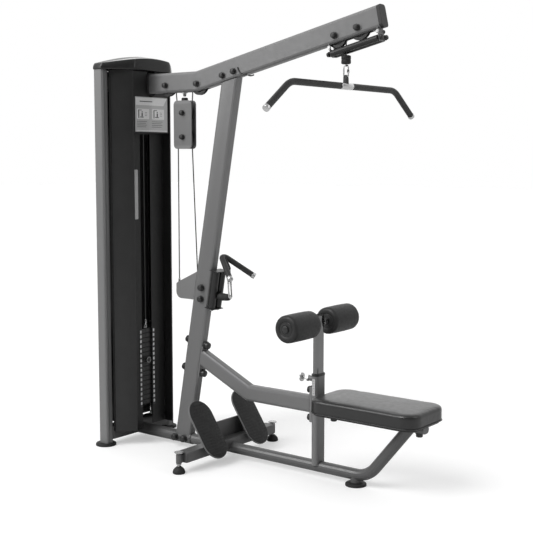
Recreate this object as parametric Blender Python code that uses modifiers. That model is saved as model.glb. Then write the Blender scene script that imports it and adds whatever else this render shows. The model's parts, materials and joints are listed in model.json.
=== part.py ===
"""Lat pulldown and low row machine: a shrouded weight stack tower, an overhead boom on a leaning
column, a bench with thigh rollers, a low row station, and the two steel cables that join them.

Units are metres and +Z is up. The machine's own X axis runs forward from the tower's posts to the
seat, Y is across the machine, and Z = 0 is the floor. An empty carries everything, so that the world
origin is on the floor under the centre of the whole machine.
"""

import math

import bmesh
import bpy
from mathutils import Matrix, Vector

# Whole machine
TOWER_X = -0.8565               # world X of the line between the tower's two posts
GAP = 0.0003                     # kept between pieces that touch
WALL = 0.003                     # wall of the steel tubes

# Tower
POST_Y = 0.2295                  # centre of each post, across the machine
POST_SIZE = (0.062, 0.046)       # along X, along Y
POST_GROOVE_Y = 0.236            # shallow groove down the front of each post
POST_X = 0.003
POST_TOP = 1.9185
FOOT_RADIUS = 0.0525
FOOT_HEIGHT = 0.012
COVER_BOTTOM = 0.073
REAR_COVER_BOTTOM = 0.092
BASE_BEAM_Z = (0.028, 0.099)
TOP_BEAM_Z = (1.815, 1.884)
PANEL_X = 0.079                  # front face of the recessed front panel
PANEL_HALF = 0.130
SLOT_HALF = 0.0365
HEADER_BOTTOM = 1.606
HEADER_X = 0.1285
LIP_X = 0.133                    # front edge of the curved side shrouds
LIP_Y = 0.134
CAP_END_WALL = 0.030             # height of the cap's side wall at its ends
CAP_ARCH = 0.032                 # added to it at the middle
CAP_HALF = 0.2560
CAP_CROWN = 0.014

# Weight stack
STACK_X = 0.013
PLATE_SIZE = (0.110, 0.250)
PLATE_PITCH = 0.0254
PLATE_GAP = 0.0012
STACK_BOTTOM = 0.182
PLATE_COUNT = 16
CARRIED_COUNT = 7
ROD_Y = 0.095
ROD_RADIUS = 0.0095
STEM_RADIUS = 0.0125
PIN_RADIUS = 0.0045
EYE_TOP = 0.630
CABLE_DROP_X = 0.069             # the lat cable falls just in front of the stack

# Cables and pulleys
CABLE_RADIUS = 0.003
PULLEY_RADIUS = 0.054
PULLEY_HALF_WIDTH = 0.009
CABLE_TURN = 0.046               # radius of the cable's centre line round a pulley
AXLE_RADIUS = 0.006

# Boom: a tube with well rounded corners, level at the back and rising to the front
TUBE_WIDE = 0.050
TUBE_DEEP = 0.100
TUBE_CORNER = 0.014
BOOM_Z = 1.853
BOOM_BACK_X = 0.0145
BOOM_BEND_X = 0.454
BOOM_END_X = 1.495
BOOM_RISE = math.radians(12.5)
PULLEY_DROP = 0.017              # front axles below the boom's centre line
TOWER_PULLEY = (CABLE_DROP_X + CABLE_TURN, 1.8414)
REAR_PULLEYS = ((0.254, 1.8414), (0.463, 1.8414))
FRONT_PULLEY_X = (1.274, 1.392)

# Guide rollers under the boom
LAT_ROLLER_DROP = 0.0895
LAT_ROLLER_RADIUS = 0.0145
LAT_ROLLER_Y = 0.0195
LAT_HANGER_X = (1.232, 1.482)

# Floating block
BLOCK_X = 0.3605
BLOCK_Z = (1.525, 1.764)
BLOCK_WIDTH = 0.118
BLOCK_AXLES_Z = (1.703, 1.584)
BLOCK_PLATE_Y = (0.0135, 0.0185)

# Leaning column
COLUMN_FOOT_X = 0.344
COLUMN_FOOT_Z = 0.050
COLUMN_LEAN = math.atan(0.1793)

# Row station
ROW_PULLEY = (0.487, 0.838)
ANCHOR = (BLOCK_X - CABLE_TURN, 0.862)
ROW_ROLLER_RADIUS = 0.0185
ROW_ROLLER_Y = 0.0230
ROW_ROLLER_OUT = 0.0290          # roller axes in front of the column's face
ROW_CAGE_Z = (0.752, 0.940)
ROW_STOP = ((0.5795, 0.7985), (0.649, 0.7985))
ROW_LINK_TOP = (0.640, 0.942)
HANDLE_APEX = (0.5886, 1.0127)
HANDLE_END = (0.731, 0.0945, 0.900)
HANDLE_RADIUS = 0.0140

# Lat bar
DROP_X = FRONT_PULLEY_X[0] + CABLE_TURN
LAT_STOP_Z = (1.892, 1.931)
LAT_STOP_RADIUS = 0.0215
LAT_BAR_Z = 1.796
LAT_BAR_BEND_Y = 0.412
LAT_BAR_TIP = (0.575, 1.680)
LAT_BAR_RADIUS = 0.0148

# Bench
RAIL_RADIUS = 0.0265
RAIL_Z = 0.050
RAIL_BACK_X = 0.120
SLEEVE_RADIUS = 0.0300
SLEEVE_END_X = 0.402
RAIL_BEND_X = 1.455
RAIL_BEND_RADIUS = 0.130
RAIL_RISE = math.radians(50.8)
SEAT_RAIL_Z = (0.296, 0.328)
SEAT_POST_X = 1.180
SEAT_POST_SIZE = (0.038, 0.075)
SEAT_POST_TOP = 0.487
SEAT_X = (1.207, 1.776)
SEAT_HALF = 0.156
SEAT_Z = (0.3285, 0.4075)
BEAM_DEEP = 0.080
BEAM_Z = 0.342
BEAM_BEND_X = 0.774
BEAM_FALL = math.radians(25.0)
BEAM_END_X = 1.142
FOOT_X = 1.391

# Thigh rollers
THIGH_POST_SIZE = (0.030, 0.063)
THIGH_POST_Z = (0.262, 0.765)
ROLLER_AXIS_Z = 0.727
FOAM_RADIUS = 0.0628
FOAM_Y = (0.059, 0.256)
PIN_Z = 0.461

# Floor cross beam and foot plates
CROSS_X = (0.600, 0.668)
CROSS_HALF = 0.338
CROSS_Z = (0.048, 0.097)
LEVEL_FOOT_Y = 0.362
LEVEL_FOOT_X = 0.634
FOOT_PLATE_CENTRE = (0.642, 0.162, 0.171)
FOOT_PLATE_SIZE = (0.306, 0.154)
FOOT_PLATE_THICK = 0.011
FOOT_PLATE_TILT = math.radians(34.0)

AXIS_TURN = {
    "X": Matrix.Rotation(math.pi / 2, 4, "Y"),
    "Y": Matrix.Rotation(-math.pi / 2, 4, "X"),
    "Z": Matrix.Identity(4),
}


# ---------------------------------------------------------------- scene, materials and helpers

def clear_scene():
    for item in list(bpy.data.objects):
        bpy.data.objects.remove(item)


def collection(name, hidden):
    made = bpy.data.collections.new(name)
    made.hide_render = hidden
    bpy.context.scene.collection.children.link(made)
    return made


def material(name, grey, roughness, metallic=0.0):
    made = bpy.data.materials.new(name)
    made.use_nodes = True
    shader = made.node_tree.nodes["Principled BSDF"]
    shader.inputs["Base Color"].default_value = (grey, grey, grey * 1.01, 1.0)
    shader.inputs["Roughness"].default_value = roughness
    shader.inputs["Metallic"].default_value = metallic
    made.diffuse_color = (grey, grey, grey, 1.0)
    return made


clear_scene()
PARTS = collection("lat_pulldown_machine", False)
CUTTERS = collection("cutters", True)
ROOT = bpy.data.objects.new("machine_origin", None)
ROOT.location = (TOWER_X, 0.0, 0.0)
PARTS.objects.link(ROOT)

PAINT = material("frame_paint", 0.21, 0.45, 0.3)
DARK_PAINT = material("dark_paint", 0.05, 0.50, 0.2)
SHROUD = material("shroud_plastic", 0.02, 0.45)
RUBBER = material("rubber", 0.012, 0.8)
NYLON = material("pulley_nylon", 0.02, 0.4)
CHROME = material("chrome", 0.75, 0.12, 1.0)
STEEL = material("zinc_steel", 0.55, 0.3, 1.0)
VINYL = material("seat_vinyl", 0.05, 0.5)
FOAM = material("foam_rubber", 0.018, 0.65)
WIRE = material("coated_cable", 0.06, 0.4)
IRON = material("weight_iron", 0.03, 0.5, 0.3)


def link(obj, where=None):
    (where or PARTS).objects.link(obj)
    return obj


def finish(obj, name, finish_material, smooth=30.0):
    """Names the piece, gives it its material, and shades its round faces smooth."""
    obj.name = name
    obj.data.name = name
    obj.data.materials.clear()
    obj.data.materials.append(finish_material)
    obj.parent = ROOT
    if obj.type == "MESH":
        obj.data.shade_smooth()
        obj.data.set_sharp_from_angle(angle=math.radians(smooth))
    return obj


def made_mesh(obj):
    """The object as a plain mesh with its caps welded; the original is removed."""
    bpy.context.view_layer.update()
    graph = bpy.context.evaluated_depsgraph_get()
    data = bpy.data.meshes.new_from_object(obj.evaluated_get(graph))
    work = bmesh.new()
    work.from_mesh(data)
    bmesh.ops.remove_doubles(work, verts=work.verts, dist=1e-6)
    bmesh.ops.recalc_face_normals(work, faces=work.faces)
    work.to_mesh(data)
    work.free()
    made = link(bpy.data.objects.new(obj.name, data))
    made.matrix_world = obj.matrix_world.copy()
    bpy.data.objects.remove(obj)
    return made


def joined(base, pieces, operation="UNION"):
    """Unites pieces with the base, or cuts them from it, and removes them."""
    for piece in pieces:
        modifier = base.modifiers.new("join", "BOOLEAN")
        modifier.operation = operation
        modifier.solver = "EXACT"
        modifier.object = piece
    result = made_mesh(base)
    for piece in pieces:
        bpy.data.objects.remove(piece)
    return result


def cut(base, pieces):
    return joined(base, pieces, "DIFFERENCE")


def bevelled(obj, width, segments=1, angle=40.0):
    modifier = obj.modifiers.new("edges", "BEVEL")
    modifier.width = width
    modifier.segments = segments
    modifier.limit_method = "ANGLE"
    modifier.angle_limit = math.radians(angle)
    return made_mesh(obj)


def box(low, high, bevel=0.0, segments=1):
    """A box between two corners, with its edges broken."""
    data = bpy.data.meshes.new("box")
    work = bmesh.new()
    bmesh.ops.create_cube(work, size=1.0)
    low, high = Vector(low), Vector(high)
    size = high - low
    bmesh.ops.scale(work, vec=size, verts=work.verts)
    bmesh.ops.translate(work, vec=(low + high) / 2, verts=work.verts)
    work.to_mesh(data)
    work.free()
    made = link(bpy.data.objects.new("box", data))
    return bevelled(made, bevel, segments) if bevel else made


def cylinder(centre, axis, radius, length, steps=24):
    """A cylinder centred on a point, along X, Y or Z."""
    data = bpy.data.meshes.new("cylinder")
    work = bmesh.new()
    bmesh.ops.create_cone(work, cap_ends=True, segments=steps, radius1=radius, radius2=radius,
                          depth=length, matrix=Matrix.Translation(centre) @ AXIS_TURN[axis])
    work.to_mesh(data)
    work.free()
    return link(bpy.data.objects.new("cylinder", data))


def turned(profile, steps=24):
    """A profile of (radius, height) points, top to bottom on its outer side, turned about Z."""
    data = bpy.data.meshes.new("turned")
    edges = [(i, i + 1) for i in range(len(profile) - 1)]
    if profile[0][0] > 0.0:
        edges.append((len(profile) - 1, 0))
    data.from_pydata([(r, 0.0, z) for r, z in profile], edges, [])
    made = link(bpy.data.objects.new("turned", data))
    screw = made.modifiers.new("turn", "SCREW")
    screw.steps = steps
    screw.render_steps = steps
    screw.use_merge_vertices = True
    screw.merge_threshold = 0.00001
    return made_mesh(made)


def placed(obj, location, turn=None):
    """Sets an object's place, and its turn as a matrix, leaving its origin on its own axis."""
    obj.matrix_world = Matrix.Translation(location) @ (turn or Matrix.Identity(4))
    return obj


def settled(obj):
    """Moves an object's place and turn into its mesh."""
    obj.data.transform(obj.matrix_world)
    obj.matrix_world = Matrix.Identity(4)
    return obj


def tube(points, radius, resolution=2):
    """A solid rod along points."""
    data = bpy.data.curves.new("tube", "CURVE")
    data.dimensions = "3D"
    data.bevel_depth = radius
    data.bevel_resolution = resolution
    data.use_fill_caps = True
    spline = data.splines.new("POLY")
    spline.points.add(len(points) - 1)
    for target, point in zip(spline.points, points):
        target.co = (*point, 1.0)
    return made_mesh(link(bpy.data.objects.new("tube", data)))


def round_bend(before, corner, after, radius, steps=6):
    """Points of the arc that rounds the corner between two straight runs."""
    first = (before - corner).normalized()
    second = (after - corner).normalized()
    half = first.angle(second) / 2
    centre = corner + (first + second).normalized() * (radius / math.sin(half))
    start = corner + first * (radius / math.tan(half)) - centre
    end = corner + second * (radius / math.tan(half)) - centre
    axis = start.cross(end).normalized()
    swing = start.angle(end)
    return [centre + Matrix.Rotation(swing * step / steps, 3, axis) @ start for step in range(steps + 1)]


def stadium(wide, deep, steps=6):
    """Points round a flat oval, wide along x and deep along y."""
    radius = min(wide, deep) / 2
    reach_x = wide / 2 - radius
    reach_y = deep / 2 - radius
    points = []
    for corner in range(4):
        sign_x = 1 if corner in (0, 3) else -1
        sign_y = 1 if corner in (0, 1) else -1
        for step in range(steps + 1):
            angle = math.pi / 2 * (corner + step / steps)
            point = (sign_x * reach_x + radius * math.cos(angle),
                     sign_y * reach_y + radius * math.sin(angle))
            if not points or math.dist(points[-1], point) > 1e-5:
                points.append(point)
    if math.dist(points[0], points[-1]) < 1e-5:
        points.pop()
    return points


def rounded(wide, deep, radius, steps=3):
    """Points round a rectangle with round corners."""
    points = []
    for corner, (sign_x, sign_y) in enumerate(((1, 1), (-1, 1), (-1, -1), (1, -1))):
        for step in range(steps + 1):
            angle = math.pi / 2 * (corner + step / steps)
            points.append((sign_x * (wide / 2 - radius) + radius * math.cos(angle),
                           sign_y * (deep / 2 - radius) + radius * math.sin(angle)))
    return points


def outline_curve(outlines):
    data = bpy.data.curves.new("outline", "CURVE")
    data.dimensions = "2D"
    for points in outlines:
        spline = data.splines.new("POLY")
        spline.points.add(len(points) - 1)
        for target, point in zip(spline.points, points):
            target.co = (point[0], point[1], 0.0, 1.0)
        spline.use_cyclic_u = True
    return data


def plate(outlines, thickness, turn=None, location=(0.0, 0.0, 0.0)):
    """A flat outline, with any inner outlines as holes, given thickness about its own plane."""
    data = outline_curve(outlines)
    data.fill_mode = "BOTH"
    data.extrude = thickness / 2
    made = made_mesh(link(bpy.data.objects.new("plate", data)))
    return settled(placed(made, location, turn))


def swept(profile, points, wall=0.0):
    """A section swept along a path in the XZ plane; hollow with open ends if it has a wall."""
    section = link(bpy.data.objects.new("section", outline_curve([profile])))
    data = bpy.data.curves.new("sweep", "CURVE")
    data.dimensions = "3D"
    data.twist_mode = "Z_UP"
    data.bevel_mode = "OBJECT"
    data.bevel_object = section
    data.use_fill_caps = wall == 0.0
    spline = data.splines.new("POLY")
    spline.points.add(len(points) - 1)
    for target, point in zip(spline.points, points):
        target.co = (point[0], 0.0, point[1], 1.0)
    made = made_mesh(link(bpy.data.objects.new("sweep", data)))
    bpy.data.objects.remove(section)
    if wall:
        shell = made.modifiers.new("wall", "SOLIDIFY")
        shell.thickness = wall
        shell.offset = -1.0
        shell.use_even_offset = True
        made = made_mesh(made)
    return made


# Turns from an outline's own plane (x, y, thickness along z) into the machine's planes
FLAT_XZ = Matrix(((1, 0, 0, 0), (0, 0, 1, 0), (0, 1, 0, 0), (0, 0, 0, 1)))
FLAT_YZ = Matrix(((0, 0, 1, 0), (1, 0, 0, 0), (0, 1, 0, 0), (0, 0, 0, 1)))


def both_sides(build, name, *details):
    """Builds a piece on the machine's left, at -Y, and its twin on the right."""
    for side, word in ((-1, "left"), (1, "right")):
        build(side, f"{name}_{word}", *details)


# ---------------------------------------------------------------- shared geometry

def boom_centre(x):
    """Height of the boom's centre line at x."""
    return BOOM_Z + max(0.0, x - BOOM_BEND_X) * math.tan(BOOM_RISE)


def below_boom(x, drop):
    """The point a distance square below the boom's rising centre line at x."""
    return Vector((x + drop * math.sin(BOOM_RISE), 0.0, boom_centre(x) - drop * math.cos(BOOM_RISE)))


def front_axle(x):
    return (x, boom_centre(x) - PULLEY_DROP / math.cos(BOOM_RISE))


def column_x(z):
    """X of the column's centre line at height z."""
    return COLUMN_FOOT_X + (z - COLUMN_FOOT_Z) * math.tan(COLUMN_LEAN)


def column_turn():
    return Matrix.Rotation(COLUMN_LEAN, 4, "Y")


def along_column(z, forward=0.0, across=0.0):
    """A point on the column's centre line at height z, moved square to it, forward and across."""
    return Vector((column_x(z) + forward * math.cos(COLUMN_LEAN), across,
                   z - forward * math.sin(COLUMN_LEAN)))


def rail_path():
    """Points along the base rail's centre line: level, round the bend, and up to the seat rail."""
    points = [(RAIL_BACK_X, RAIL_Z)]
    centre = (RAIL_BEND_X - RAIL_BEND_RADIUS * math.tan(RAIL_RISE / 2), RAIL_Z + RAIL_BEND_RADIUS)
    steps = 8
    for step in range(steps + 1):
        angle = RAIL_RISE * step / steps
        points.append((centre[0] + RAIL_BEND_RADIUS * math.sin(angle),
                       centre[1] - RAIL_BEND_RADIUS * math.cos(angle)))
    climb = SEAT_RAIL_Z[0] + 0.014 - points[-1][1]
    points.append((points[-1][0] + climb / math.tan(RAIL_RISE), SEAT_RAIL_Z[0] + 0.014))
    return points


def rail_rod(radius):
    return tube([(x, 0.0, z) for x, z in rail_path()], radius, 6)


def pulley_axle(place, half_length):
    return cylinder((place[0], 0.0, place[1]), "Y", AXLE_RADIUS, 2 * half_length, 14)


# ---------------------------------------------------------------- tower

def tower_post(side, name):
    inner = (POST_SIZE[0] - 2 * WALL, POST_SIZE[1] - 2 * WALL)
    bottom = FOOT_HEIGHT + GAP
    post = plate([rounded(*POST_SIZE, 0.012), rounded(*inner, 0.009)], POST_TOP - bottom,
                 location=(POST_X, side * POST_Y, (POST_TOP + bottom) / 2))
    front = POST_X + POST_SIZE[0] / 2
    groove_y = side * POST_GROOVE_Y
    groove = box((front - 0.0016, groove_y - 0.0015, 0.0), (front + 0.0014, groove_y + 0.0015, 2.0))
    finish(cut(post, [groove]), name, PAINT)


def tower_foot(side, name):
    edge = 0.003
    disc = turned([(0.0, FOOT_HEIGHT), (FOOT_RADIUS - edge, FOOT_HEIGHT), (FOOT_RADIUS, FOOT_HEIGHT - edge),
                   (FOOT_RADIUS, 0.0), (0.0, 0.0)], 28)
    finish(placed(disc, (0.0, side * POST_Y, 0.0)), name, RUBBER)


def tower_base():
    """The beam between the posts, with the sleeve that takes the base rail."""
    inside = POST_Y - POST_SIZE[1] / 2 - GAP
    back = POST_X - POST_SIZE[0] / 2 + 0.002
    front = POST_X + POST_SIZE[0] / 2 - 0.0005
    low, high = BASE_BEAM_Z
    beam = box((back, -inside, low), (front, inside, high), 0.004)
    centre = (SLEEVE_END_X / 2, 0.0, RAIL_Z)
    sleeve = cylinder(centre, "X", SLEEVE_RADIUS, SLEEVE_END_X, 24)
    beam = cut(joined(beam, [sleeve]), [rail_rod(RAIL_RADIUS + GAP)])
    finish(beam, "tower_base_beam", DARK_PAINT)


def tower_top():
    inside = POST_Y - POST_SIZE[1] / 2 - GAP
    back = POST_X - POST_SIZE[0] / 2 + 0.002
    front = POST_X + POST_SIZE[0] / 2 - 0.0005
    beam = box((back, -inside, TOP_BEAM_Z[0]), (front, inside, TOP_BEAM_Z[1]), 0.004)
    notch = box((BOOM_BACK_X - GAP, -TUBE_WIDE / 2 - GAP, 1.0), (0.2, TUBE_WIDE / 2 + GAP, 2.0))
    finish(cut(beam, [notch]), "tower_top_beam", DARK_PAINT)


def guide_rod(side, name):
    low, high = BASE_BEAM_Z[1] + GAP, TOP_BEAM_Z[0] - GAP
    rod = cylinder((0.0, 0.0, 0.0), "Z", ROD_RADIUS, high - low, 16)
    finish(placed(rod, (STACK_X, side * ROD_Y, (low + high) / 2)), name, CHROME)


def shroud(side, name):
    """A curved sheet from the front of a post to its front lip, then turned in to the panel."""
    start = Vector((POST_X + POST_SIZE[0] / 2 + 0.0010, POST_Y - POST_SIZE[1] / 2 - 0.002))
    lip = Vector((LIP_X - 0.001, LIP_Y))
    bulge = Vector((0.092, 0.181))
    points = [start]
    steps = 9
    for step in range(1, steps + 1):
        t = step / steps
        points.append(start * (1 - t) ** 2 + bulge * 2 * t * (1 - t) + lip * t ** 2)
    points.append(Vector((LIP_X - 0.003, PANEL_HALF + 0.0025)))
    points.append(Vector((PANEL_X + 0.0005, PANEL_HALF + 0.0020)))
    data = bpy.data.curves.new("sheet", "CURVE")
    data.dimensions = "2D"
    data.fill_mode = "NONE"
    data.extrude = (POST_TOP - 0.001 - COVER_BOTTOM) / 2
    spline = data.splines.new("POLY")
    spline.points.add(len(points) - 1)
    for target, point in zip(spline.points, points):
        target.co = (point.x, side * point.y, 0.0, 1.0)
    sheet = made_mesh(link(bpy.data.objects.new("sheet", data)))
    sheet = settled(placed(sheet, (0.0, 0.0, (POST_TOP - 0.001 + COVER_BOTTOM) / 2)))
    wall = sheet.modifiers.new("wall", "SOLIDIFY")
    wall.thickness = 0.0025
    wall.offset = 0.0
    wall.use_even_offset = True
    finish(made_mesh(sheet), name, SHROUD, 50.0)


def front_panel():
    """The recessed sheet with the selector slot, and the solid header that the boom passes through."""
    thick = 0.003
    sheet = box((PANEL_X - thick, -PANEL_HALF, COVER_BOTTOM), (PANEL_X, PANEL_HALF, HEADER_BOTTOM + 0.05))
    header_top = POST_TOP - 0.001
    header = box((PANEL_X - thick, -PANEL_HALF, HEADER_BOTTOM), (HEADER_X, PANEL_HALF, header_top), 0.003)
    slot = box((0.0, -SLOT_HALF, 0.0), (HEADER_X - 0.03, SLOT_HALF, HEADER_BOTTOM - 0.006))
    hole = rounded(TUBE_WIDE + 0.003, TUBE_DEEP + 0.003, TUBE_CORNER)
    boom_hole = plate([hole], 0.2, FLAT_YZ, (0.1, 0.0, BOOM_Z))
    above = box((0.0, -TUBE_WIDE / 2 - 0.0015, BOOM_Z), (0.2, TUBE_WIDE / 2 + 0.0015, 2.0))
    pulley_room = box((0.0, -0.012, 1.782), (0.2, 0.012, 1.83))
    panel = cut(joined(sheet, [header]), [slot, boom_hole, above, pulley_room])
    finish(panel, "front_panel", SHROUD)


def rear_cover():
    """A shallow pan that closes the back of the tower between the posts."""
    back = -0.0600
    edge = POST_X - POST_SIZE[0] / 2 - 0.0005
    points = [(edge, -0.214), (edge, -0.196), (back, -0.178), (back, 0.178), (edge, 0.196), (edge, 0.214)]
    data = bpy.data.curves.new("pan", "CURVE")
    data.dimensions = "2D"
    data.fill_mode = "NONE"
    data.extrude = (POST_TOP - 0.001 - REAR_COVER_BOTTOM) / 2
    spline = data.splines.new("POLY")
    spline.points.add(len(points) - 1)
    for target, point in zip(spline.points, points):
        target.co = (*point, 0.0, 1.0)
    pan = made_mesh(link(bpy.data.objects.new("pan", data)))
    pan = settled(placed(pan, (0.0, 0.0, (POST_TOP - 0.001 + REAR_COVER_BOTTOM) / 2)))
    wall = pan.modifiers.new("wall", "SOLIDIFY")
    wall.thickness = 0.0025
    wall.offset = 1.0
    wall.use_even_offset = True
    pan = made_mesh(pan)
    finish(pan, "rear_cover", SHROUD)


def cap_outline():
    """Half plan of the top cap, from the back centre round to the front centre."""
    back = -0.0630
    edge = POST_X - POST_SIZE[0] / 2 - 0.003
    front = POST_X + POST_SIZE[0] / 2 + 0.002
    points = [(back, 0.0), (back, 0.060), (back, 0.120), (back, 0.181), (edge, 0.201), (edge, 0.244),
              (edge + 0.004, 0.2525), (edge + 0.012, CAP_HALF), (front - 0.008, CAP_HALF), (front, 0.2530)]
    start, bulge, lip = Vector((front, 0.2530)), Vector((0.094, 0.197)), Vector((0.137, 0.1395))
    steps = 6
    for step in range(1, steps + 1):
        t = step / steps
        point = start * (1 - t) ** 2 + bulge * 2 * t * (1 - t) + lip * t ** 2
        points.append((point.x, point.y))
    points += [(0.1425, 0.131), (0.1450, 0.118), (0.1465, 0.075), (0.1470, 0.035), (0.1470, 0.0)]
    return points


def cap_height(y):
    """Height of the cap's wall above the posts, arched across the machine."""
    return CAP_END_WALL + CAP_ARCH * math.cos(math.pi / 2 * min(abs(y) / CAP_HALF, 1.0))


def top_cap():
    """The arched moulding over the tower, with a crowned top."""
    half = cap_outline()
    ring = half + [(x, -y) for x, y in reversed(half[1:-1])]
    centre = Vector((0.045, 0.0))
    bottom = POST_TOP + GAP
    levels = ((0.990, 0.0, 0.0), (1.0, 0.0, 0.003), (0.994, 0.55, 0.0), (0.975, 0.87, 0.0), (0.95, 1.0, 0.0),
              (0.82, 1.0, 0.5 * CAP_CROWN), (0.55, 1.0, 0.9 * CAP_CROWN), (0.25, 1.0, CAP_CROWN))
    work = bmesh.new()
    rings = []
    for scale, arched, rise in levels:
        level = []
        for x, y in ring:
            wall = arched * cap_height(y * scale)
            level.append(work.verts.new((centre.x + (x - centre.x) * scale, y * scale, bottom + wall + rise)))
        rings.append(level)
    for lower, upper in zip(rings, rings[1:]):
        for i in range(len(ring)):
            j = (i + 1) % len(ring)
            work.faces.new((lower[i], lower[j], upper[j], upper[i]))
    work.faces.new(rings[0])
    crown = work.verts.new((centre.x, 0.0, bottom + cap_height(0.0) + CAP_CROWN))
    for i in range(len(ring)):
        work.faces.new((rings[-1][i], rings[-1][(i + 1) % len(ring)], crown))
    bmesh.ops.recalc_face_normals(work, faces=work.faces)
    data = bpy.data.meshes.new("cap")
    work.to_mesh(data)
    work.free()
    finish(link(bpy.data.objects.new("cap", data)), "top_cap", SHROUD, 50.0)


# ---------------------------------------------------------------- weight stack

def plate_block(first, count, name):
    """Plates from first upward, with grooves between them, drilled for the stem, rods and pin."""
    low = STACK_BOTTOM + first * PLATE_PITCH
    half_x, half_y = PLATE_SIZE[0] / 2, PLATE_SIZE[1] / 2
    inset = 0.003
    top = low + count * PLATE_PITCH - PLATE_GAP
    core = box((STACK_X - half_x + inset, -half_y + inset, low + 0.001),
               (STACK_X + half_x - inset, half_y - inset, top - 0.001))
    slabs = []
    for index in range(count):
        bottom = low + index * PLATE_PITCH
        slabs.append(box((STACK_X - half_x, -half_y, bottom),
                         (STACK_X + half_x, half_y, bottom + PLATE_PITCH - PLATE_GAP)))
    block = joined(core, slabs)
    middle = (low + top) / 2
    drills = [cylinder((STACK_X, 0.0, middle), "Z", STEM_RADIUS + 0.001, 1.0, 14)]
    for side in (-1, 1):
        drills.append(cylinder((STACK_X, side * ROD_Y, middle), "Z", ROD_RADIUS + 0.001, 1.0, 14))
    block = cut(block, drills)
    holes = []
    for index in range(count):
        hole_z = low + index * PLATE_PITCH + (PLATE_PITCH - PLATE_GAP) / 2
        holes.append(cylinder((STACK_X + half_x, 0.0, hole_z), "X", PIN_RADIUS + 0.0012, 2 * half_x, 8))
    finish(cut(block, holes), name, IRON)


def pin_height():
    return STACK_BOTTOM + (PLATE_COUNT - CARRIED_COUNT) * PLATE_PITCH + (PLATE_PITCH - PLATE_GAP) / 2


def selector_stem():
    """The drilled rod that the pin locks into, with a forward arm that carries the cable's ring."""
    top = STACK_BOTTOM + PLATE_COUNT * PLATE_PITCH
    low = STACK_BOTTOM + 0.004
    rod = cylinder((STACK_X, 0.0, (low + top) / 2), "Z", STEM_RADIUS, top - low + 0.004, 14)
    flange = cylinder((STACK_X, 0.0, top + 0.005), "Z", 0.024, 0.010, 18)
    arm = box((STACK_X, -0.010, top + 0.002), (CABLE_DROP_X - 0.001, 0.010, top + 0.0095), 0.001)
    ring_z, wide = top + 0.0115, 0.0070
    steps = 12
    loop = [(CABLE_DROP_X, wide * math.cos(math.tau * step / steps),
             ring_z + wide * math.sin(math.tau * step / steps)) for step in range(steps)]
    ring = closed_ring(loop, 0.0030)
    neck_low = ring_z + wide
    neck = cylinder((CABLE_DROP_X, 0.0, (neck_low + EYE_TOP) / 2), "Z", 0.0050, EYE_TOP - neck_low, 12)
    stem = joined(rod, [flange, arm, ring, neck])
    holes = []
    for index in range(PLATE_COUNT):
        hole_z = STACK_BOTTOM + index * PLATE_PITCH + (PLATE_PITCH - PLATE_GAP) / 2
        holes.append(cylinder((STACK_X, 0.0, hole_z), "X", PIN_RADIUS + 0.0008, 0.06, 6))
    finish(cut(stem, holes), "selector_stem", STEEL)


def selector_pin():
    front = STACK_X + PLATE_SIZE[0] / 2
    back = STACK_X - STEM_RADIUS + 0.001
    shaft = cylinder(((back + front + 0.004) / 2, 0.0, 0.0), "X", PIN_RADIUS, front + 0.004 - back, 12)
    collar = cylinder((front + 0.0075, 0.0, 0.0), "X", 0.0085, 0.009, 16)
    knob = cylinder((front + 0.0185, 0.0, 0.0), "X", 0.0145, 0.015, 20)
    pin = joined(shaft, [collar, knob])
    finish(placed(pin, (0.0, 0.0, pin_height())), "selector_pin", CHROME)


# ---------------------------------------------------------------- pulleys, boom and guide rollers

def pulley(place, name):
    half = PULLEY_HALF_WIDTH
    bore = AXLE_RADIUS + 0.0005
    groove = CABLE_TURN - CABLE_RADIUS - 0.0015
    rim = PULLEY_RADIUS
    profile = [(bore, half), (rim, half), (rim, half - 0.0015), (groove, 0.0034),
               (groove, -0.0034), (rim, 0.0015 - half), (rim, -half), (bore, -half)]
    wheel = turned(profile, 18)
    finish(placed(wheel, (place[0], 0.0, place[1]), AXIS_TURN["Y"]), name, NYLON)


def pulleys():
    pulley(TOWER_PULLEY, "tower_pulley")
    for place, word in zip(REAR_PULLEYS, ("back", "front")):
        pulley(place, f"rear_boom_pulley_{word}")
    for x, word in zip(FRONT_PULLEY_X, ("back", "front")):
        pulley(front_axle(x), f"front_boom_pulley_{word}")
    for z, word in zip(BLOCK_AXLES_Z, ("upper", "lower")):
        pulley((BLOCK_X, z), f"block_pulley_{word}")
    pulley(ROW_PULLEY, "row_pulley")


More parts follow.
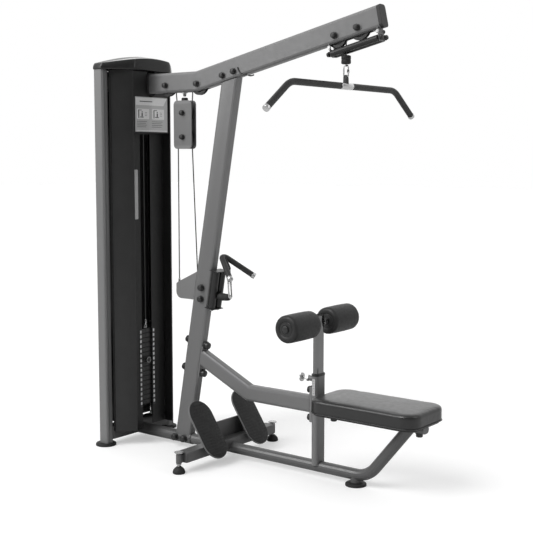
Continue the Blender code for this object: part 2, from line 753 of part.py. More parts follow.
def boom():
    """The boom, with pulley openings in its underside, axles, and roller hangers."""
    path = [(BOOM_BACK_X, BOOM_Z), (BOOM_BEND_X, BOOM_Z), (BOOM_END_X, boom_centre(BOOM_END_X))]
    body = swept(rounded(TUBE_WIDE, TUBE_DEEP, TUBE_CORNER), path, WALL)
    turn = Matrix.Rotation(-BOOM_RISE, 4, "Y")
    hangers = []
    for x in LAT_HANGER_X:
        hanger = box((-0.0025, -0.023, -LAT_ROLLER_DROP - 0.014), (0.0025, 0.023, -0.0405), 0.001)
        hangers.append(settled(placed(hanger, (x, 0.0, boom_centre(x)), turn)))
    body = joined(body, hangers)
    half = PULLEY_HALF_WIDTH + 0.004
    front_x = sum(FRONT_PULLEY_X) / 2
    front_slot = box((-0.118, -half, -0.070), (0.118, half, 0.0))
    cutters = [
        box((BOOM_BACK_X + 0.003, -half, 1.70), (REAR_PULLEYS[0][0] + 0.064, half, BOOM_Z)),
        box((REAR_PULLEYS[1][0] - 0.064, -half, 1.70), (REAR_PULLEYS[1][0] + 0.064, half, BOOM_Z)),
        settled(placed(front_slot, (front_x, 0.0, boom_centre(front_x)), turn)),
    ]
    body = cut(body, cutters)
    across = TUBE_WIDE / 2 + 0.002
    extras = [pulley_axle(TOWER_PULLEY, TUBE_WIDE / 2 + 0.0008)]
    extras += [pulley_axle(place, across) for place in REAR_PULLEYS]
    extras += [pulley_axle(front_axle(x), across) for x in FRONT_PULLEY_X]
    buffer_x = BLOCK_X
    extras.append(cylinder((buffer_x, 0.0, BOOM_Z - TUBE_DEEP / 2 - 0.008), "Z", 0.008, 0.020, 12))
    for extra in extras:
        body = joined(body, [extra])
    finish(body, "boom", PAINT)


def boom_end_cap():
    turn = Matrix.Rotation(-BOOM_RISE, 4, "Y")
    cap = plate([rounded(TUBE_WIDE + 0.001, TUBE_DEEP + 0.001, TUBE_CORNER)], 0.016, FLAT_YZ)
    cap = bevelled(cap, 0.004, 2)
    end = (BOOM_END_X + 0.0086 * math.cos(BOOM_RISE), 0.0,
           boom_centre(BOOM_END_X) + 0.0086 * math.sin(BOOM_RISE))
    finish(settled(placed(cap, end, turn)), "boom_end_cap", SHROUD)


def lat_roller(side, name):
    low, high = LAT_HANGER_X
    length = (high - low) / math.cos(BOOM_RISE) - 0.0065
    radius = LAT_ROLLER_RADIUS
    profile = [(0.0, length / 2), (radius - 0.002, length / 2), (radius, length / 2 - 0.002),
               (radius, 0.002 - length / 2), (radius - 0.002, -length / 2), (0.0, -length / 2)]
    roller = turned(profile, 16)
    middle = below_boom((low + high) / 2, LAT_ROLLER_DROP)
    middle.y = side * LAT_ROLLER_Y
    turn = Matrix.Rotation(math.pi / 2 - BOOM_RISE, 4, "Y")
    finish(placed(roller, middle, turn), name, SHROUD)


# ---------------------------------------------------------------- column and row station

def column():
    """The leaning column, coped over the base rail and slotted for the row pulley."""
    top_z = 1.90
    foot_z = 0.056
    length = (top_z - foot_z) / math.cos(COLUMN_LEAN)
    inner = rounded(TUBE_DEEP - 2 * WALL, TUBE_WIDE - 2 * WALL, TUBE_CORNER - WALL)
    body = plate([rounded(TUBE_DEEP, TUBE_WIDE, TUBE_CORNER), inner], length)
    middle = along_column((top_z + foot_z) / 2)
    body = settled(placed(body, middle, column_turn()))
    under = TUBE_DEEP / 2 + GAP
    turn = Matrix.Rotation(-BOOM_RISE, 4, "Y")
    trim = box((-0.6, -0.1, -under), (0.6, 0.1, 0.4))
    trim = settled(placed(trim, (0.66, 0.0, boom_centre(0.66)), turn))
    half = PULLEY_HALF_WIDTH + 0.003
    x, z = ROW_PULLEY
    slot = box((x - 0.09, -half, z - 0.066), (x, half, z + 0.115))
    sleeve_room = cylinder((0.35, 0.0, RAIL_Z), "X", SLEEVE_RADIUS + GAP, 0.40, 24)
    exit_slot = box((x, -half, z - 0.066), (x + 0.09, half, z + 0.066))
    body = cut(body, [trim, sleeve_room, slot, exit_slot])
    body = joined(body, [pulley_axle(ROW_PULLEY, TUBE_WIDE / 2 + 0.002)])
    finish(body, "column", PAINT)


def gusset_outline():
    """Side outline of a gusset, from the column's back down to its rounded tip."""
    back = TUBE_DEEP / 2 / math.cos(COLUMN_LEAN) + GAP
    top_z, low_z = 0.915, 0.772
    points = [(column_x(top_z) - back, top_z), (0.326, 0.858), (0.308, 0.847), (0.307, 0.806)]
    centre, radius, steps = (0.341, 0.806), 0.034, 5
    for step in range(1, steps + 1):
        angle = math.pi + math.pi / 2 * step / steps
        points.append((centre[0] + radius * math.cos(angle), centre[1] + radius * math.sin(angle)))
    points.append((column_x(low_z) - back, low_z))
    return points


def row_bracket():
    """Two gussets behind the column, joined by the cable's anchor block."""
    thick = 0.004
    inner = PULLEY_HALF_WIDTH + 0.0035
    sides = [plate([gusset_outline()], thick, FLAT_XZ, (0.0, side * (inner + thick / 2), 0.0))
             for side in (-1, 1)]
    web = box((ANCHOR[0] - 0.0055, -inner - 0.001, 0.816), (ANCHOR[0] + 0.0055, inner + 0.001, 0.8455))
    brace = box((0.345, -inner - 0.001, 0.7725), (0.400, inner + 0.001, 0.7765))
    bracket = joined(sides[0], [sides[1], web, brace])
    finish(bracket, "row_bracket", PAINT)


def row_cage():
    """The frame that holds the two guide rollers against the column's front."""
    face = TUBE_DEEP / 2 + GAP
    reach = ROW_ROLLER_OUT + 0.022
    half = ROW_ROLLER_Y + 0.020
    low, high = ROW_CAGE_Z
    length = (high - low) / math.cos(COLUMN_LEAN)
    back = box((face, -0.024, -length / 2), (face + 0.004, 0.024, length / 2))
    window = box((face - 0.01, -PULLEY_HALF_WIDTH - 0.004, -length / 2 + 0.012),
                 (face + 0.01, PULLEY_HALF_WIDTH + 0.004, length / 2 - 0.012))
    back = cut(back, [window])
    shelves = [box((face, -half, level - 0.002), (face + reach, half, level + 0.002), 0.0008)
               for level in (-length / 2, length / 2)]
    cage = joined(back, shelves)
    cage = settled(placed(cage, along_column((low + high) / 2), column_turn()))
    finish(cage, "row_roller_cage", STEEL)


def row_roller(side, name):
    low, high = ROW_CAGE_Z
    length = (high - low) / math.cos(COLUMN_LEAN) - 0.0055
    radius = ROW_ROLLER_RADIUS
    profile = [(0.0, length / 2), (radius - 0.002, length / 2), (radius, length / 2 - 0.002),
               (radius, 0.002 - length / 2), (radius - 0.002, -length / 2), (0.0, -length / 2)]
    roller = turned(profile, 18)
    forward = TUBE_DEEP / 2 + ROW_ROLLER_OUT
    place = along_column((low + high) / 2, forward, side * ROW_ROLLER_Y)
    finish(placed(roller, place, column_turn()), name, SHROUD)


def row_stop():
    """The rubber stop on the row cable's end, with the snap link standing up from its nose."""
    (back_x, z), (front_x, _) = ROW_STOP
    length = front_x - back_x
    profile = [(0.0, length), (0.0125, length), (0.0165, length - 0.005), (0.0205, 0.010),
               (0.0205, 0.002), (0.0185, 0.0), (0.0, 0.0)]
    stop = turned(profile, 18)
    stop = settled(placed(stop, (back_x, 0.0, z), AXIS_TURN["X"]))
    wide, radius = 0.010, 0.0036
    top_x, top_z = ROW_LINK_TOP
    lean = (top_x - front_x - 0.003) / (top_z - z)
    loop = []
    steps = 5
    for end, start in ((top_z - wide, 0.0), (z + wide - 0.004, math.pi)):
        for step in range(steps + 1):
            angle = start + math.pi * step / steps
            height = end + wide * math.sin(angle)
            loop.append((top_x + lean * (height - top_z), wide * math.cos(angle), height))
    ring = closed_ring(loop, radius)
    finish(joined(stop, [ring]), "row_stop_and_link", STEEL)


def closed_ring(points, radius):
    """A rod round a closed loop of points."""
    data = bpy.data.curves.new("ring", "CURVE")
    data.dimensions = "3D"
    data.bevel_depth = radius
    data.bevel_resolution = 1
    spline = data.splines.new("POLY")
    spline.points.add(len(points) - 1)
    for target, point in zip(spline.points, points):
        target.co = (*point, 1.0)
    spline.use_cyclic_u = True
    return made_mesh(link(bpy.data.objects.new("ring", data)))


def row_handle():
    """The V handle: two gripped arms from a rounded apex, with its eye below the apex."""
    apex = Vector((HANDLE_APEX[0], 0.0, HANDLE_APEX[1]))
    pivot = Vector((ROW_LINK_TOP[0], 0.0, ROW_LINK_TOP[1]))
    far = Vector(HANDLE_END)
    near = Vector((far.x, -far.y, far.z))
    bend = round_bend(near, apex, far, 0.022)
    crown = bend[len(bend) // 2]
    body = tube([tuple(point) for point in (near, *bend, far)], HANDLE_RADIUS, 4)
    down = (pivot - crown).normalized()
    mid = crown.lerp(pivot, 0.5)
    length = (pivot - crown).length
    eye = box((-0.010, -0.0025, -length / 2), (0.010, 0.0025, length / 2 + 0.010))
    angle = math.atan2(down.x, -down.z)
    eye = settled(placed(eye, mid, Matrix.Rotation(math.pi - angle, 4, "Y")))
    hole = cylinder(tuple(pivot), "Y", 0.0065, 0.05, 14)
    handle = cut(joined(body, [eye]), [hole])
    handle.data.transform(Matrix.Translation(-pivot))
    finish(placed(handle, tuple(pivot)), "row_handle", RUBBER)


# ---------------------------------------------------------------- floating block and lat bar

def floating_block():
    """Two side plates on two axles, with a rubber bumper on top."""
    low, high = BLOCK_Z
    near, far = BLOCK_PLATE_Y
    outline = rounded(BLOCK_WIDTH, high - low, 0.020, 3)
    sides = [plate([outline], far - near, FLAT_XZ, (BLOCK_X, side * (near + far) / 2, (low + high) / 2))
             for side in (-1, 1)]
    extras = [sides[1]]
    extras += [pulley_axle((BLOCK_X, z), far + 0.001) for z in BLOCK_AXLES_Z]
    extras.append(box((BLOCK_X - 0.012, -near - 0.001, high - 0.004), (BLOCK_X + 0.012, near + 0.001, high)))
    extras.append(cylinder((BLOCK_X, 0.0, high + 0.006), "Z", 0.0115, 0.013, 14))
    finish(joined(sides[0], extras), "floating_block", PAINT)


def lat_stop():
    """The rubber stop at the end of the lat cable, with the quick link hanging from it."""
    low, high = LAT_STOP_Z
    radius = LAT_STOP_RADIUS
    profile = [(0.0, high), (radius - 0.003, high), (radius, high - 0.003), (radius, low + 0.003),
               (radius - 0.003, low), (0.0, low)]
    stop = settled(placed(turned(profile, 20), (DROP_X, 0.0, 0.0)))
    wide, rod = 0.0125, 0.0032
    steps = 6
    loop = []
    for end, start in ((low - 0.008, 0.0), (LAT_BAR_Z + 0.0475, math.pi)):
        for step in range(steps + 1):
            angle = start + math.pi * step / steps
            loop.append((DROP_X, wide * math.cos(angle), end + wide * math.sin(angle)))
    ring = closed_ring(loop, rod)
    finish(joined(stop, [ring]), "lat_stop_and_link", RUBBER)


def lat_bar():
    tip = Vector((0.0, LAT_BAR_TIP[0], LAT_BAR_TIP[1] - LAT_BAR_Z))
    bend = round_bend(tip, Vector((0.0, LAT_BAR_BEND_Y, 0.0)), Vector((0.0, 0.0, 0.0)), 0.110)
    half = [tip, *bend]
    points = [(0.0, -point.y, point.z) for point in half]
    points += [tuple(point) for point in reversed(half)]
    body = tube(points, LAT_BAR_RADIUS, 4)
    lug = box((-0.011, -0.0028, 0.008), (0.011, 0.0028, 0.050), 0.001)
    hole = cylinder((0.0, 0.0, 0.0385), "Y", 0.0080, 0.05, 14)
    body = cut(joined(body, [lug]), [hole])
    finish(placed(body, (DROP_X, 0.0, LAT_BAR_Z)), "lat_bar", RUBBER)


# ---------------------------------------------------------------- cables

def arc(place, start, end, steps=8):
    """Points of a cable round a pulley, between two angles in degrees from +X, in the XZ plane."""
    points = []
    for step in range(steps + 1):
        angle = math.radians(start + (end - start) * step / steps)
        points.append((place[0] + CABLE_TURN * math.cos(angle), 0.0,
                       place[1] + CABLE_TURN * math.sin(angle)))
    return points


def tangent_angle(first, second):
    """Angle, in degrees, at which a straight cable over the top of two equal pulleys leaves each."""
    return 90.0 + math.degrees(math.atan2(second[1] - first[1], second[0] - first[0]))


def cable(points, name):
    finish(tube(points, CABLE_RADIUS, 1), name, WIRE)


def cables():
    """Each stretch of the two cables that changes length, and each stretch that doesn't."""
    step = 2 * GAP
    drop = [(CABLE_DROP_X, 0.0, EYE_TOP + GAP), (CABLE_DROP_X, 0.0, TOWER_PULLEY[1] - step)]
    cable(drop, "lat_cable_at_stack")
    back, front = REAR_PULLEYS
    cable(arc(TOWER_PULLEY, 180, 90) + arc(back, 90, 0), "lat_cable_in_boom_back")
    over = front_axle(FRONT_PULLEY_X[0])
    leave = tangent_angle(front, over)
    cable(arc(front, 180, leave) + arc(over, leave, 0), "lat_cable_in_boom_front")
    cable([(DROP_X, 0.0, over[1] - step), (DROP_X, 0.0, LAT_STOP_Z[1] + GAP)], "lat_cable_at_bar")
    upper, lower = (BLOCK_X, BLOCK_AXLES_Z[0]), (BLOCK_X, BLOCK_AXLES_Z[1])
    left_top = (back[0] + CABLE_TURN, 0.0, back[1] - step)
    right_top = (front[0] - CABLE_TURN, 0.0, front[1] - step)
    cable([left_top] + arc(upper, 180, 360) + [right_top], "lat_cable_at_block")
    anchor = (ANCHOR[0], 0.0, ANCHOR[1] - 0.015)
    down = (ROW_PULLEY[0] - CABLE_TURN, 0.0, ROW_PULLEY[1] + step)
    cable([anchor] + arc(lower, 180, 0) + [down], "row_cable_at_block")
    exit_point = (ROW_STOP[0][0] - GAP, 0.0, ROW_STOP[0][1])
    cable(arc(ROW_PULLEY, 180, 274) + [exit_point], "row_cable_at_row_pulley")


# ---------------------------------------------------------------- bench

def base_rail():
    """The round rail along the floor, up to the seat rail, with the boss of its foot."""
    rail = rail_rod(RAIL_RADIUS)
    boss = cylinder((FOOT_X, 0.0, (FOOT_HEIGHT + RAIL_Z) / 2), "Z", 0.025, RAIL_Z - FOOT_HEIGHT - 2 * GAP, 20)
    low, high = SEAT_RAIL_Z
    front = SEAT_POST_X + SEAT_POST_SIZE[0] / 2 + GAP
    back = SEAT_X[1] - 0.028
    seat_rail = plate([stadium(TUBE_WIDE, high - low, 4)], back - front, FLAT_YZ,
                      ((front + back) / 2, 0.0, (low + high) / 2))
    trim = box((1.5, -0.1, low + 0.012), (1.9, 0.1, 0.5))
    rail = joined(cut(joined(rail, [boss]), [trim]), [seat_rail])
    finish(rail, "base_rail", DARK_PAINT)


def bench_foot():
    edge = 0.004
    radius = 0.049
    foot = turned([(0.0, FOOT_HEIGHT - GAP), (radius - edge, FOOT_HEIGHT - GAP),
                   (radius, FOOT_HEIGHT - GAP - edge), (radius, 0.0), (0.0, 0.0)], 28)
    finish(placed(foot, (FOOT_X, 0.0, 0.0)), "bench_foot", RUBBER)


def bench_beam():
    """The beam from the column to the seat post, with a bolted plate at each end."""
    profile = rounded(TUBE_WIDE, BEAM_DEEP, TUBE_CORNER)
    start_x = 0.40
    start_z = BEAM_Z + (BEAM_BEND_X - start_x) * math.tan(BEAM_FALL)
    beam = swept(profile, [(start_x, start_z), (BEAM_BEND_X, BEAM_Z), (BEAM_END_X + 0.004, BEAM_Z)])
    face = TUBE_DEEP / 2 + GAP
    plate_z = 0.468
    back_plate = box((face, -0.0245, -0.082), (face + 0.007, 0.0245, 0.082), 0.001)
    back_plate = settled(placed(back_plate, along_column(plate_z), column_turn()))
    trim = box((-0.5, -0.1, -0.5), (face, 0.1, 0.5))
    trim = settled(placed(trim, along_column(plate_z), column_turn()))
    front_plate = box((BEAM_END_X + 0.002, -0.022, BEAM_Z - 0.080), (BEAM_END_X + 0.007, 0.022, BEAM_Z + 0.080),
                      0.001)
    beam = joined(cut(beam, [trim]), [back_plate, front_plate])
    finish(beam, "bench_beam", PAINT)


def seat_post():
    """The upright sleeve for the thigh post, with the beam's mounting plate and the pin's barrel."""
    wide, deep = SEAT_POST_SIZE
    low = RAIL_Z + 0.010
    inner = stadium(wide - 0.0055, deep - 0.0055, 5)
    post = plate([stadium(wide, deep, 5), inner], SEAT_POST_TOP - low,
                 location=(SEAT_POST_X, 0.0, (SEAT_POST_TOP + low) / 2))
    face = SEAT_POST_X - wide / 2
    start = BEAM_END_X + 0.007 + GAP
    mount = box((start, -0.027, BEAM_Z - 0.082), (face + 0.001, 0.027, BEAM_Z + 0.082))
    barrel = cylinder(((1.118 + face + 0.001) / 2, 0.0, PIN_Z), "X", 0.0125, face + 0.001 - 1.118, 16)
    post = joined(post, [mount, barrel])
    bore = cylinder((1.13, 0.0, PIN_Z), "X", 0.0062, 0.080, 12)
    post = cut(post, [bore, rail_rod(RAIL_RADIUS + GAP)])
    finish(post, "seat_post", DARK_PAINT)


def thigh_post():
    """The chrome post and its cross axle, with a groove that the pull pin's nose runs in."""
    wide, deep = THIGH_POST_SIZE
    low, high = THIGH_POST_Z
    post = plate([stadium(wide, deep, 5)], high - low, location=(SEAT_POST_X, 0.0, (low + high) / 2))
    groove = box((SEAT_POST_X - wide / 2 - 0.01, -0.0055, low - 0.01),
                 (SEAT_POST_X - wide / 2 + 0.005, 0.0055, 0.640))
    post = cut(post, [groove])
    axle = cylinder((SEAT_POST_X, 0.0, ROLLER_AXIS_Z), "Y", 0.0120, 2 * FOAM_Y[1] + 0.008, 16)
    finish(joined(post, [axle]), "thigh_post", CHROME)


def foam_roller(side, name):
    """A foam roller with rounded ends, dished for the end caps round its axle."""
    low, high = FOAM_Y
    half = (high - low) / 2
    bore, hub, radius, round_over = 0.0126, 0.028, FOAM_RADIUS, 0.014
    side_points = [(bore, half - 0.004), (hub, half - 0.004), (hub + 0.002, half)]
    for step in range(4):
        angle = math.pi / 2 * (1 - step / 3)
        side_points.append((radius - round_over + round_over * math.cos(angle),
                            half - round_over + round_over * math.sin(angle)))
    profile = side_points + [(r, -z) for r, z in reversed(side_points)]
    roller = turned(profile, 24)
    place = (SEAT_POST_X, side * (low + high) / 2, ROLLER_AXIS_Z)
    finish(placed(roller, place, AXIS_TURN["Y"]), name, FOAM)


def pull_pin():
    nose_x = SEAT_POST_X - THIGH_POST_SIZE[0] / 2 + 0.003
    knob_x = 1.0865
    stem = cylinder(((knob_x + nose_x) / 2, 0.0, 0.0), "X", 0.0048, nose_x - knob_x, 12)
    knob = bevelled(cylinder((knob_x, 0.0, 0.0), "X", 0.0200, 0.008, 24), 0.0015)
    finish(placed(joined(knob, [stem]), (0.0, 0.0, PIN_Z)), "pull_pin", CHROME)


def seat_pad():
    low, high = SEAT_Z
    pad = plate([rounded(SEAT_X[1] - SEAT_X[0], 2 * SEAT_HALF, 0.075, 6)], high - low,
                location=((SEAT_X[0] + SEAT_X[1]) / 2, 0.0, (low + high) / 2))
    pad = bevelled(pad, 0.012, 3, 60.0)
    finish(pad, "seat_pad", VINYL)


# ---------------------------------------------------------------- floor cross beam and foot plates

def cross_beam():
    """The beam across the floor with its levelling bosses, foot plate bar and brackets."""
    back, front = CROSS_X
    low, high = CROSS_Z
    beam = box((back, -CROSS_HALF, low), (front, CROSS_HALF, high), 0.005, 2)
    hollow = box((back + 0.005, -CROSS_HALF + 0.006, low - 0.01), (front - 0.005, CROSS_HALF - 0.006, high - 0.005))
    beam = cut(beam, [hollow, rail_rod(RAIL_RADIUS + GAP)])
    extras = []
    for side in (-1, 1):
        lug_low = min(side * (CROSS_HALF - 0.002), side * LEVEL_FOOT_Y)
        lug_high = max(side * (CROSS_HALF - 0.002), side * LEVEL_FOOT_Y)
        extras.append(box((LEVEL_FOOT_X - 0.0135, lug_low, low + 0.004), (LEVEL_FOOT_X + 0.0135, lug_high, high - 0.010)))
        extras.append(cylinder((LEVEL_FOOT_X, side * LEVEL_FOOT_Y, (low + high - 0.006) / 2), "Z", 0.0140,
                               high - 0.006 - low, 16))
    bar_x = 0.604
    extras.append(box((bar_x, -0.150, high - 0.002), (bar_x + 0.008, 0.150, 0.182), 0.001))
    for side in (-1, 1):
        outline = [(CROSS_X[0] + 0.006, high - 0.003), (CROSS_X[1] - 0.004, high - 0.003),
                   foot_plate_point(-0.060), foot_plate_point(0.090), (CROSS_X[0] + 0.006, 0.182)]
        extras.append(plate([outline], 0.008, FLAT_XZ, (0.0, side * (FOOT_PLATE_CENTRE[1] - 0.020), 0.0)))
    beam = joined(beam, extras)
    bores = [cylinder((LEVEL_FOOT_X, side * LEVEL_FOOT_Y, high / 2), "Z", 0.0068, high, 12) for side in (-1, 1)]
    finish(cut(beam, bores), "cross_beam", DARK_PAINT)


def foot_plate_point(along):
    """A point just behind a foot plate, in X and Z, a distance up its slope from its centre."""
    behind = FOOT_PLATE_THICK / 2 + GAP
    x, _, z = FOOT_PLATE_CENTRE
    return (x - along * math.sin(FOOT_PLATE_TILT) - behind * math.cos(FOOT_PLATE_TILT),
            z + along * math.cos(FOOT_PLATE_TILT) - behind * math.sin(FOOT_PLATE_TILT))


def foot_plate(side, name):
    long, wide = FOOT_PLATE_SIZE
    body = plate([stadium(wide, long, 6)], FOOT_PLATE_THICK, FLAT_YZ)
    turn = Matrix.Rotation(-FOOT_PLATE_TILT, 4, "Y")
    x, y, z = FOOT_PLATE_CENTRE
    finish(settled(placed(body, (x, side * y, z), turn)), name, RUBBER)


def leveling_foot(side, name):
    profile = [(0.0, 0.104), (0.0225, 0.104), (0.0225, 0.0985), (0.0060, 0.0985), (0.0060, 0.034),
               (0.014, 0.032), (0.022, 0.026), (0.028, 0.016), (0.030, 0.006), (0.029, 0.0), (0.0, 0.0)]
    foot = turned(profile, 20)
    finish(placed(foot, (LEVEL_FOOT_X, side * LEVEL_FOOT_Y, 0.0)), name, RUBBER)


# ---------------------------------------------------------------- the machine

def build():
    both_sides(tower_post, "tower_post")
    both_sides(tower_foot, "tower_foot")
    tower_base()
    tower_top()
    both_sides(guide_rod, "guide_rod")
    both_sides(shroud, "side_shroud")
    front_panel()
    rear_cover()
    top_cap()
    plate_block(0, PLATE_COUNT - CARRIED_COUNT, "resting_plates")
    plate_block(PLATE_COUNT - CARRIED_COUNT, CARRIED_COUNT, "carried_plates")
    selector_stem()
    selector_pin()
    pulleys()
    boom()
    boom_end_cap()
    both_sides(lat_roller, "lat_guide_roller")
    column()
    row_bracket()
    row_cage()
    both_sides(row_roller, "row_guide_roller")
    row_stop()
    row_handle()
    floating_block()
    lat_stop()
    lat_bar()
    cables()
    base_rail()
    bench_foot()
    bench_beam()
    seat_post()
    thigh_post()
    both_sides(foam_roller, "foam_roller")
    pull_pin()
    seat_pad()
    cross_beam()
    both_sides(foot_plate, "foot_plate")
    both_sides(leveling_foot, "leveling_foot")


build()
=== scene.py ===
"""Looks for the lat pulldown and low row machine: painted steel, moulded covers, upholstery, cables
and small fittings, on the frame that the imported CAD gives. Metres, +Z up, the same axes as the CAD."""

import json
import math

import bmesh
import bpy
from mathutils import Matrix, Vector
from mathutils.bvhtree import BVHTree


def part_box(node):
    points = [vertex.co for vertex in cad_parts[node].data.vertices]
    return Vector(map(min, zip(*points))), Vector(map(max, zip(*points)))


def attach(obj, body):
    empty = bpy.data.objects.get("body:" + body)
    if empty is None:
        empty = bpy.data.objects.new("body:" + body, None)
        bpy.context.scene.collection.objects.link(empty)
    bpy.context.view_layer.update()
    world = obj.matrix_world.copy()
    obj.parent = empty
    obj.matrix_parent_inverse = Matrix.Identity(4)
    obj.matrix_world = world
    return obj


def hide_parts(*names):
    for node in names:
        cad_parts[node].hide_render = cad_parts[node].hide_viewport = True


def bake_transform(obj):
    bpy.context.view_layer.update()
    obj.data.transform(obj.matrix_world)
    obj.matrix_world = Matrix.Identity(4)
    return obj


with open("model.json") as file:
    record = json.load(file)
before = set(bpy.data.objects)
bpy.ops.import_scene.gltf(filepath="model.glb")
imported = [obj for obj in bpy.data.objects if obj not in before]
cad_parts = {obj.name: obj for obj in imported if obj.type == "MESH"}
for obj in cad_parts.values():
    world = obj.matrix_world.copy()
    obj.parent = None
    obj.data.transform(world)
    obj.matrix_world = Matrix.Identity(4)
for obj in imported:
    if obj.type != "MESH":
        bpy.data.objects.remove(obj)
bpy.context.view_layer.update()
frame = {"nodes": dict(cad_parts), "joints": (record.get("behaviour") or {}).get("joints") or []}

SHOWN = []
X, Y, Z = Vector((1, 0, 0)), Vector((0, 1, 0)), Vector((0, 0, 1))
JOINTS = {joint["name"]: joint for joint in frame["joints"]}


# ---------------------------------------------------------------- places read from the frame

def low(node):
    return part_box(node)[0]


def high(node):
    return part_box(node)[1]


def middle(node):
    return (low(node) + high(node)) / 2


def joint_place(name):
    return Vector(JOINTS[name]["pos_m"])


MACHINE_X = middle("tower_foot_left").x     # the line between the tower's posts


def at(x, y, z):
    """A place given forward of the tower's posts."""
    return Vector((MACHINE_X + x, y, z))


BOOM_Z = high("lat_cable_in_boom_back").z - 0.037   # centre line of the boom's level part
BOOM_BEND_X = 0.454
BOOM_RISE = math.radians(12.5)
BOOM_HALF_WIDE = 0.025
BOOM_HALF_DEEP = 0.050
COLUMN_LEAN = math.atan(0.1793)
ROW_PULLEY = joint_place("row_pulley_spin")


def boom_point(x, down=0.0, across=0.0):
    """A point x forward of the posts on the boom's centre line, moved square to it."""
    rise = max(0.0, x - BOOM_BEND_X)
    tilt = BOOM_RISE if rise > 0.0 else 0.0
    return at(x + down * math.sin(tilt), across, BOOM_Z + rise * math.tan(BOOM_RISE) - down * math.cos(tilt))


def column_point(z, forward=0.0, across=0.0):
    """A point on the column's centre line at height z, moved square to it."""
    x = 0.344 + (z - 0.050) * math.tan(COLUMN_LEAN)
    return at(x + forward * math.cos(COLUMN_LEAN), across, z - forward * math.sin(COLUMN_LEAN))


BOOM_DIRECTION = Vector((math.cos(BOOM_RISE), 0, math.sin(BOOM_RISE)))
COLUMN_DIRECTION = Vector((math.sin(COLUMN_LEAN), 0, math.cos(COLUMN_LEAN)))
COLUMN_FORWARD = Vector((math.cos(COLUMN_LEAN), 0, -math.sin(COLUMN_LEAN)))


# ---------------------------------------------------------------- materials

class Finish:
    """A procedural material under construction. Texture coordinates are metres in the piece's own space."""

    def __init__(self, name, grey, roughness, metallic=0.0, tint=(1.0, 1.0, 1.0)):
        self.material = bpy.data.materials.new(name)
        self.material.use_nodes = True
        self.tree = self.material.node_tree
        self.shader = self.tree.nodes["Principled BSDF"]
        self.shader.inputs["Metallic"].default_value = metallic
        self.shader.inputs["Roughness"].default_value = roughness
        self.colour = tuple(grey * share for share in tint)
        self.shader.inputs["Base Color"].default_value = (*self.colour, 1.0)
        self.place = self.tree.nodes.new("ShaderNodeTexCoord").outputs["Object"]
        self.height = None

    def node(self, kind, **values):
        made = self.tree.nodes.new(kind)
        for key, value in values.items():
            if key in made.inputs:
                made.inputs[key].default_value = value
            else:
                setattr(made, key, value)
        return made

    def link(self, start, end):
        self.tree.links.new(start, end)

    def stretched(self, scale):
        mapping = self.node("ShaderNodeMapping")
        mapping.inputs["Scale"].default_value = scale
        self.link(self.place, mapping.inputs["Vector"])
        return mapping.outputs["Vector"]

    def noise(self, scale, detail=3.0, place=None):
        texture = self.node("ShaderNodeTexNoise", Scale=scale, Detail=detail)
        self.link(place or self.place, texture.inputs["Vector"])
        return texture.outputs["Fac"]

    def cells(self, scale, feature="F1"):
        texture = self.node("ShaderNodeTexVoronoi", feature=feature, Scale=scale)
        self.link(self.place, texture.inputs["Vector"])
        return texture.outputs["Distance"]

    def ranged(self, value, start, end, low=0.0, high=1.0):
        scaled = self.node("ShaderNodeMapRange")
        scaled.inputs["From Min"].default_value = start
        scaled.inputs["From Max"].default_value = end
        scaled.inputs["To Min"].default_value = low
        scaled.inputs["To Max"].default_value = high
        self.link(value, scaled.inputs["Value"])
        return scaled.outputs["Result"]

    def tone(self, value, share):
        """Varies the colour with a texture by a share either way."""
        mix = self.node("ShaderNodeMix", data_type="RGBA", clamp_factor=True)
        dark = [channel * (1 - share) for channel in self.colour]
        pale = [channel * (1 + share) for channel in self.colour]
        mix.inputs[6].default_value = (*dark, 1.0)
        mix.inputs[7].default_value = (*pale, 1.0)
        self.link(self.ranged(value, 0.3, 0.7), mix.inputs["Factor"])
        self.paint = mix.outputs[2]
        self.link(self.paint, self.shader.inputs["Base Color"])
        return self

    def over(self, mask, colour):
        """Lays another colour over the paint where a mask is 1."""
        mix = self.node("ShaderNodeMix", data_type="RGBA", clamp_factor=True)
        self.link(mask, mix.inputs["Factor"])
        self.link(self.paint, mix.inputs[6])
        mix.inputs[7].default_value = (*colour, 1.0)
        self.paint = mix.outputs[2]
        self.link(self.paint, self.shader.inputs["Base Color"])
        return self

    def rough(self, value, low, high):
        self.link(self.ranged(value, 0.3, 0.7, low, high), self.shader.inputs["Roughness"])
        return self

    def bump(self, value, strength, distance):
        bump = self.node("ShaderNodeBump", Strength=strength, Distance=distance)
        self.link(value, bump.inputs["Height"])
        if self.height:
            self.link(self.height, bump.inputs["Normal"])
        self.height = bump.outputs["Normal"]
        self.link(self.height, self.shader.inputs["Normal"])
        return self

    def edges(self):
        """1 on sharp outer edges, from the mesh's own shape."""
        return self.ranged(self.node("ShaderNodeNewGeometry").outputs["Pointiness"], 0.53, 0.60)


def powder_coat(name, grey):
    """Satin textured powder coat: fine orange peel, faint mottling, paler on sharp edges."""
    finish = Finish(name, grey, 0.40, 0.35, (1.0, 1.0, 1.005))
    finish.tone(finish.noise(520.0, 4.0), 0.10)
    finish.over(finish.ranged(finish.noise(7.0, 3.0), 0.55, 0.95, 0.0, 0.18), (grey * 1.25,) * 3)
    finish.over(finish.ranged(finish.edges(), 0.0, 1.0, 0.0, 0.35), (grey * 1.7,) * 3)
    finish.rough(finish.noise(38.0), 0.36, 0.46)
    finish.bump(finish.noise(900.0, 2.0), 0.25, 0.0002)
    return finish.material


def moulded_plastic(name, grey, roughness, grain=1500.0):
    finish = Finish(name, grey, roughness)
    finish.tone(finish.noise(12.0), 0.10)
    finish.rough(finish.noise(60.0, 4.0), roughness - 0.05, roughness + 0.06)
    finish.bump(finish.cells(grain), 0.10, 0.0001)
    return finish.material


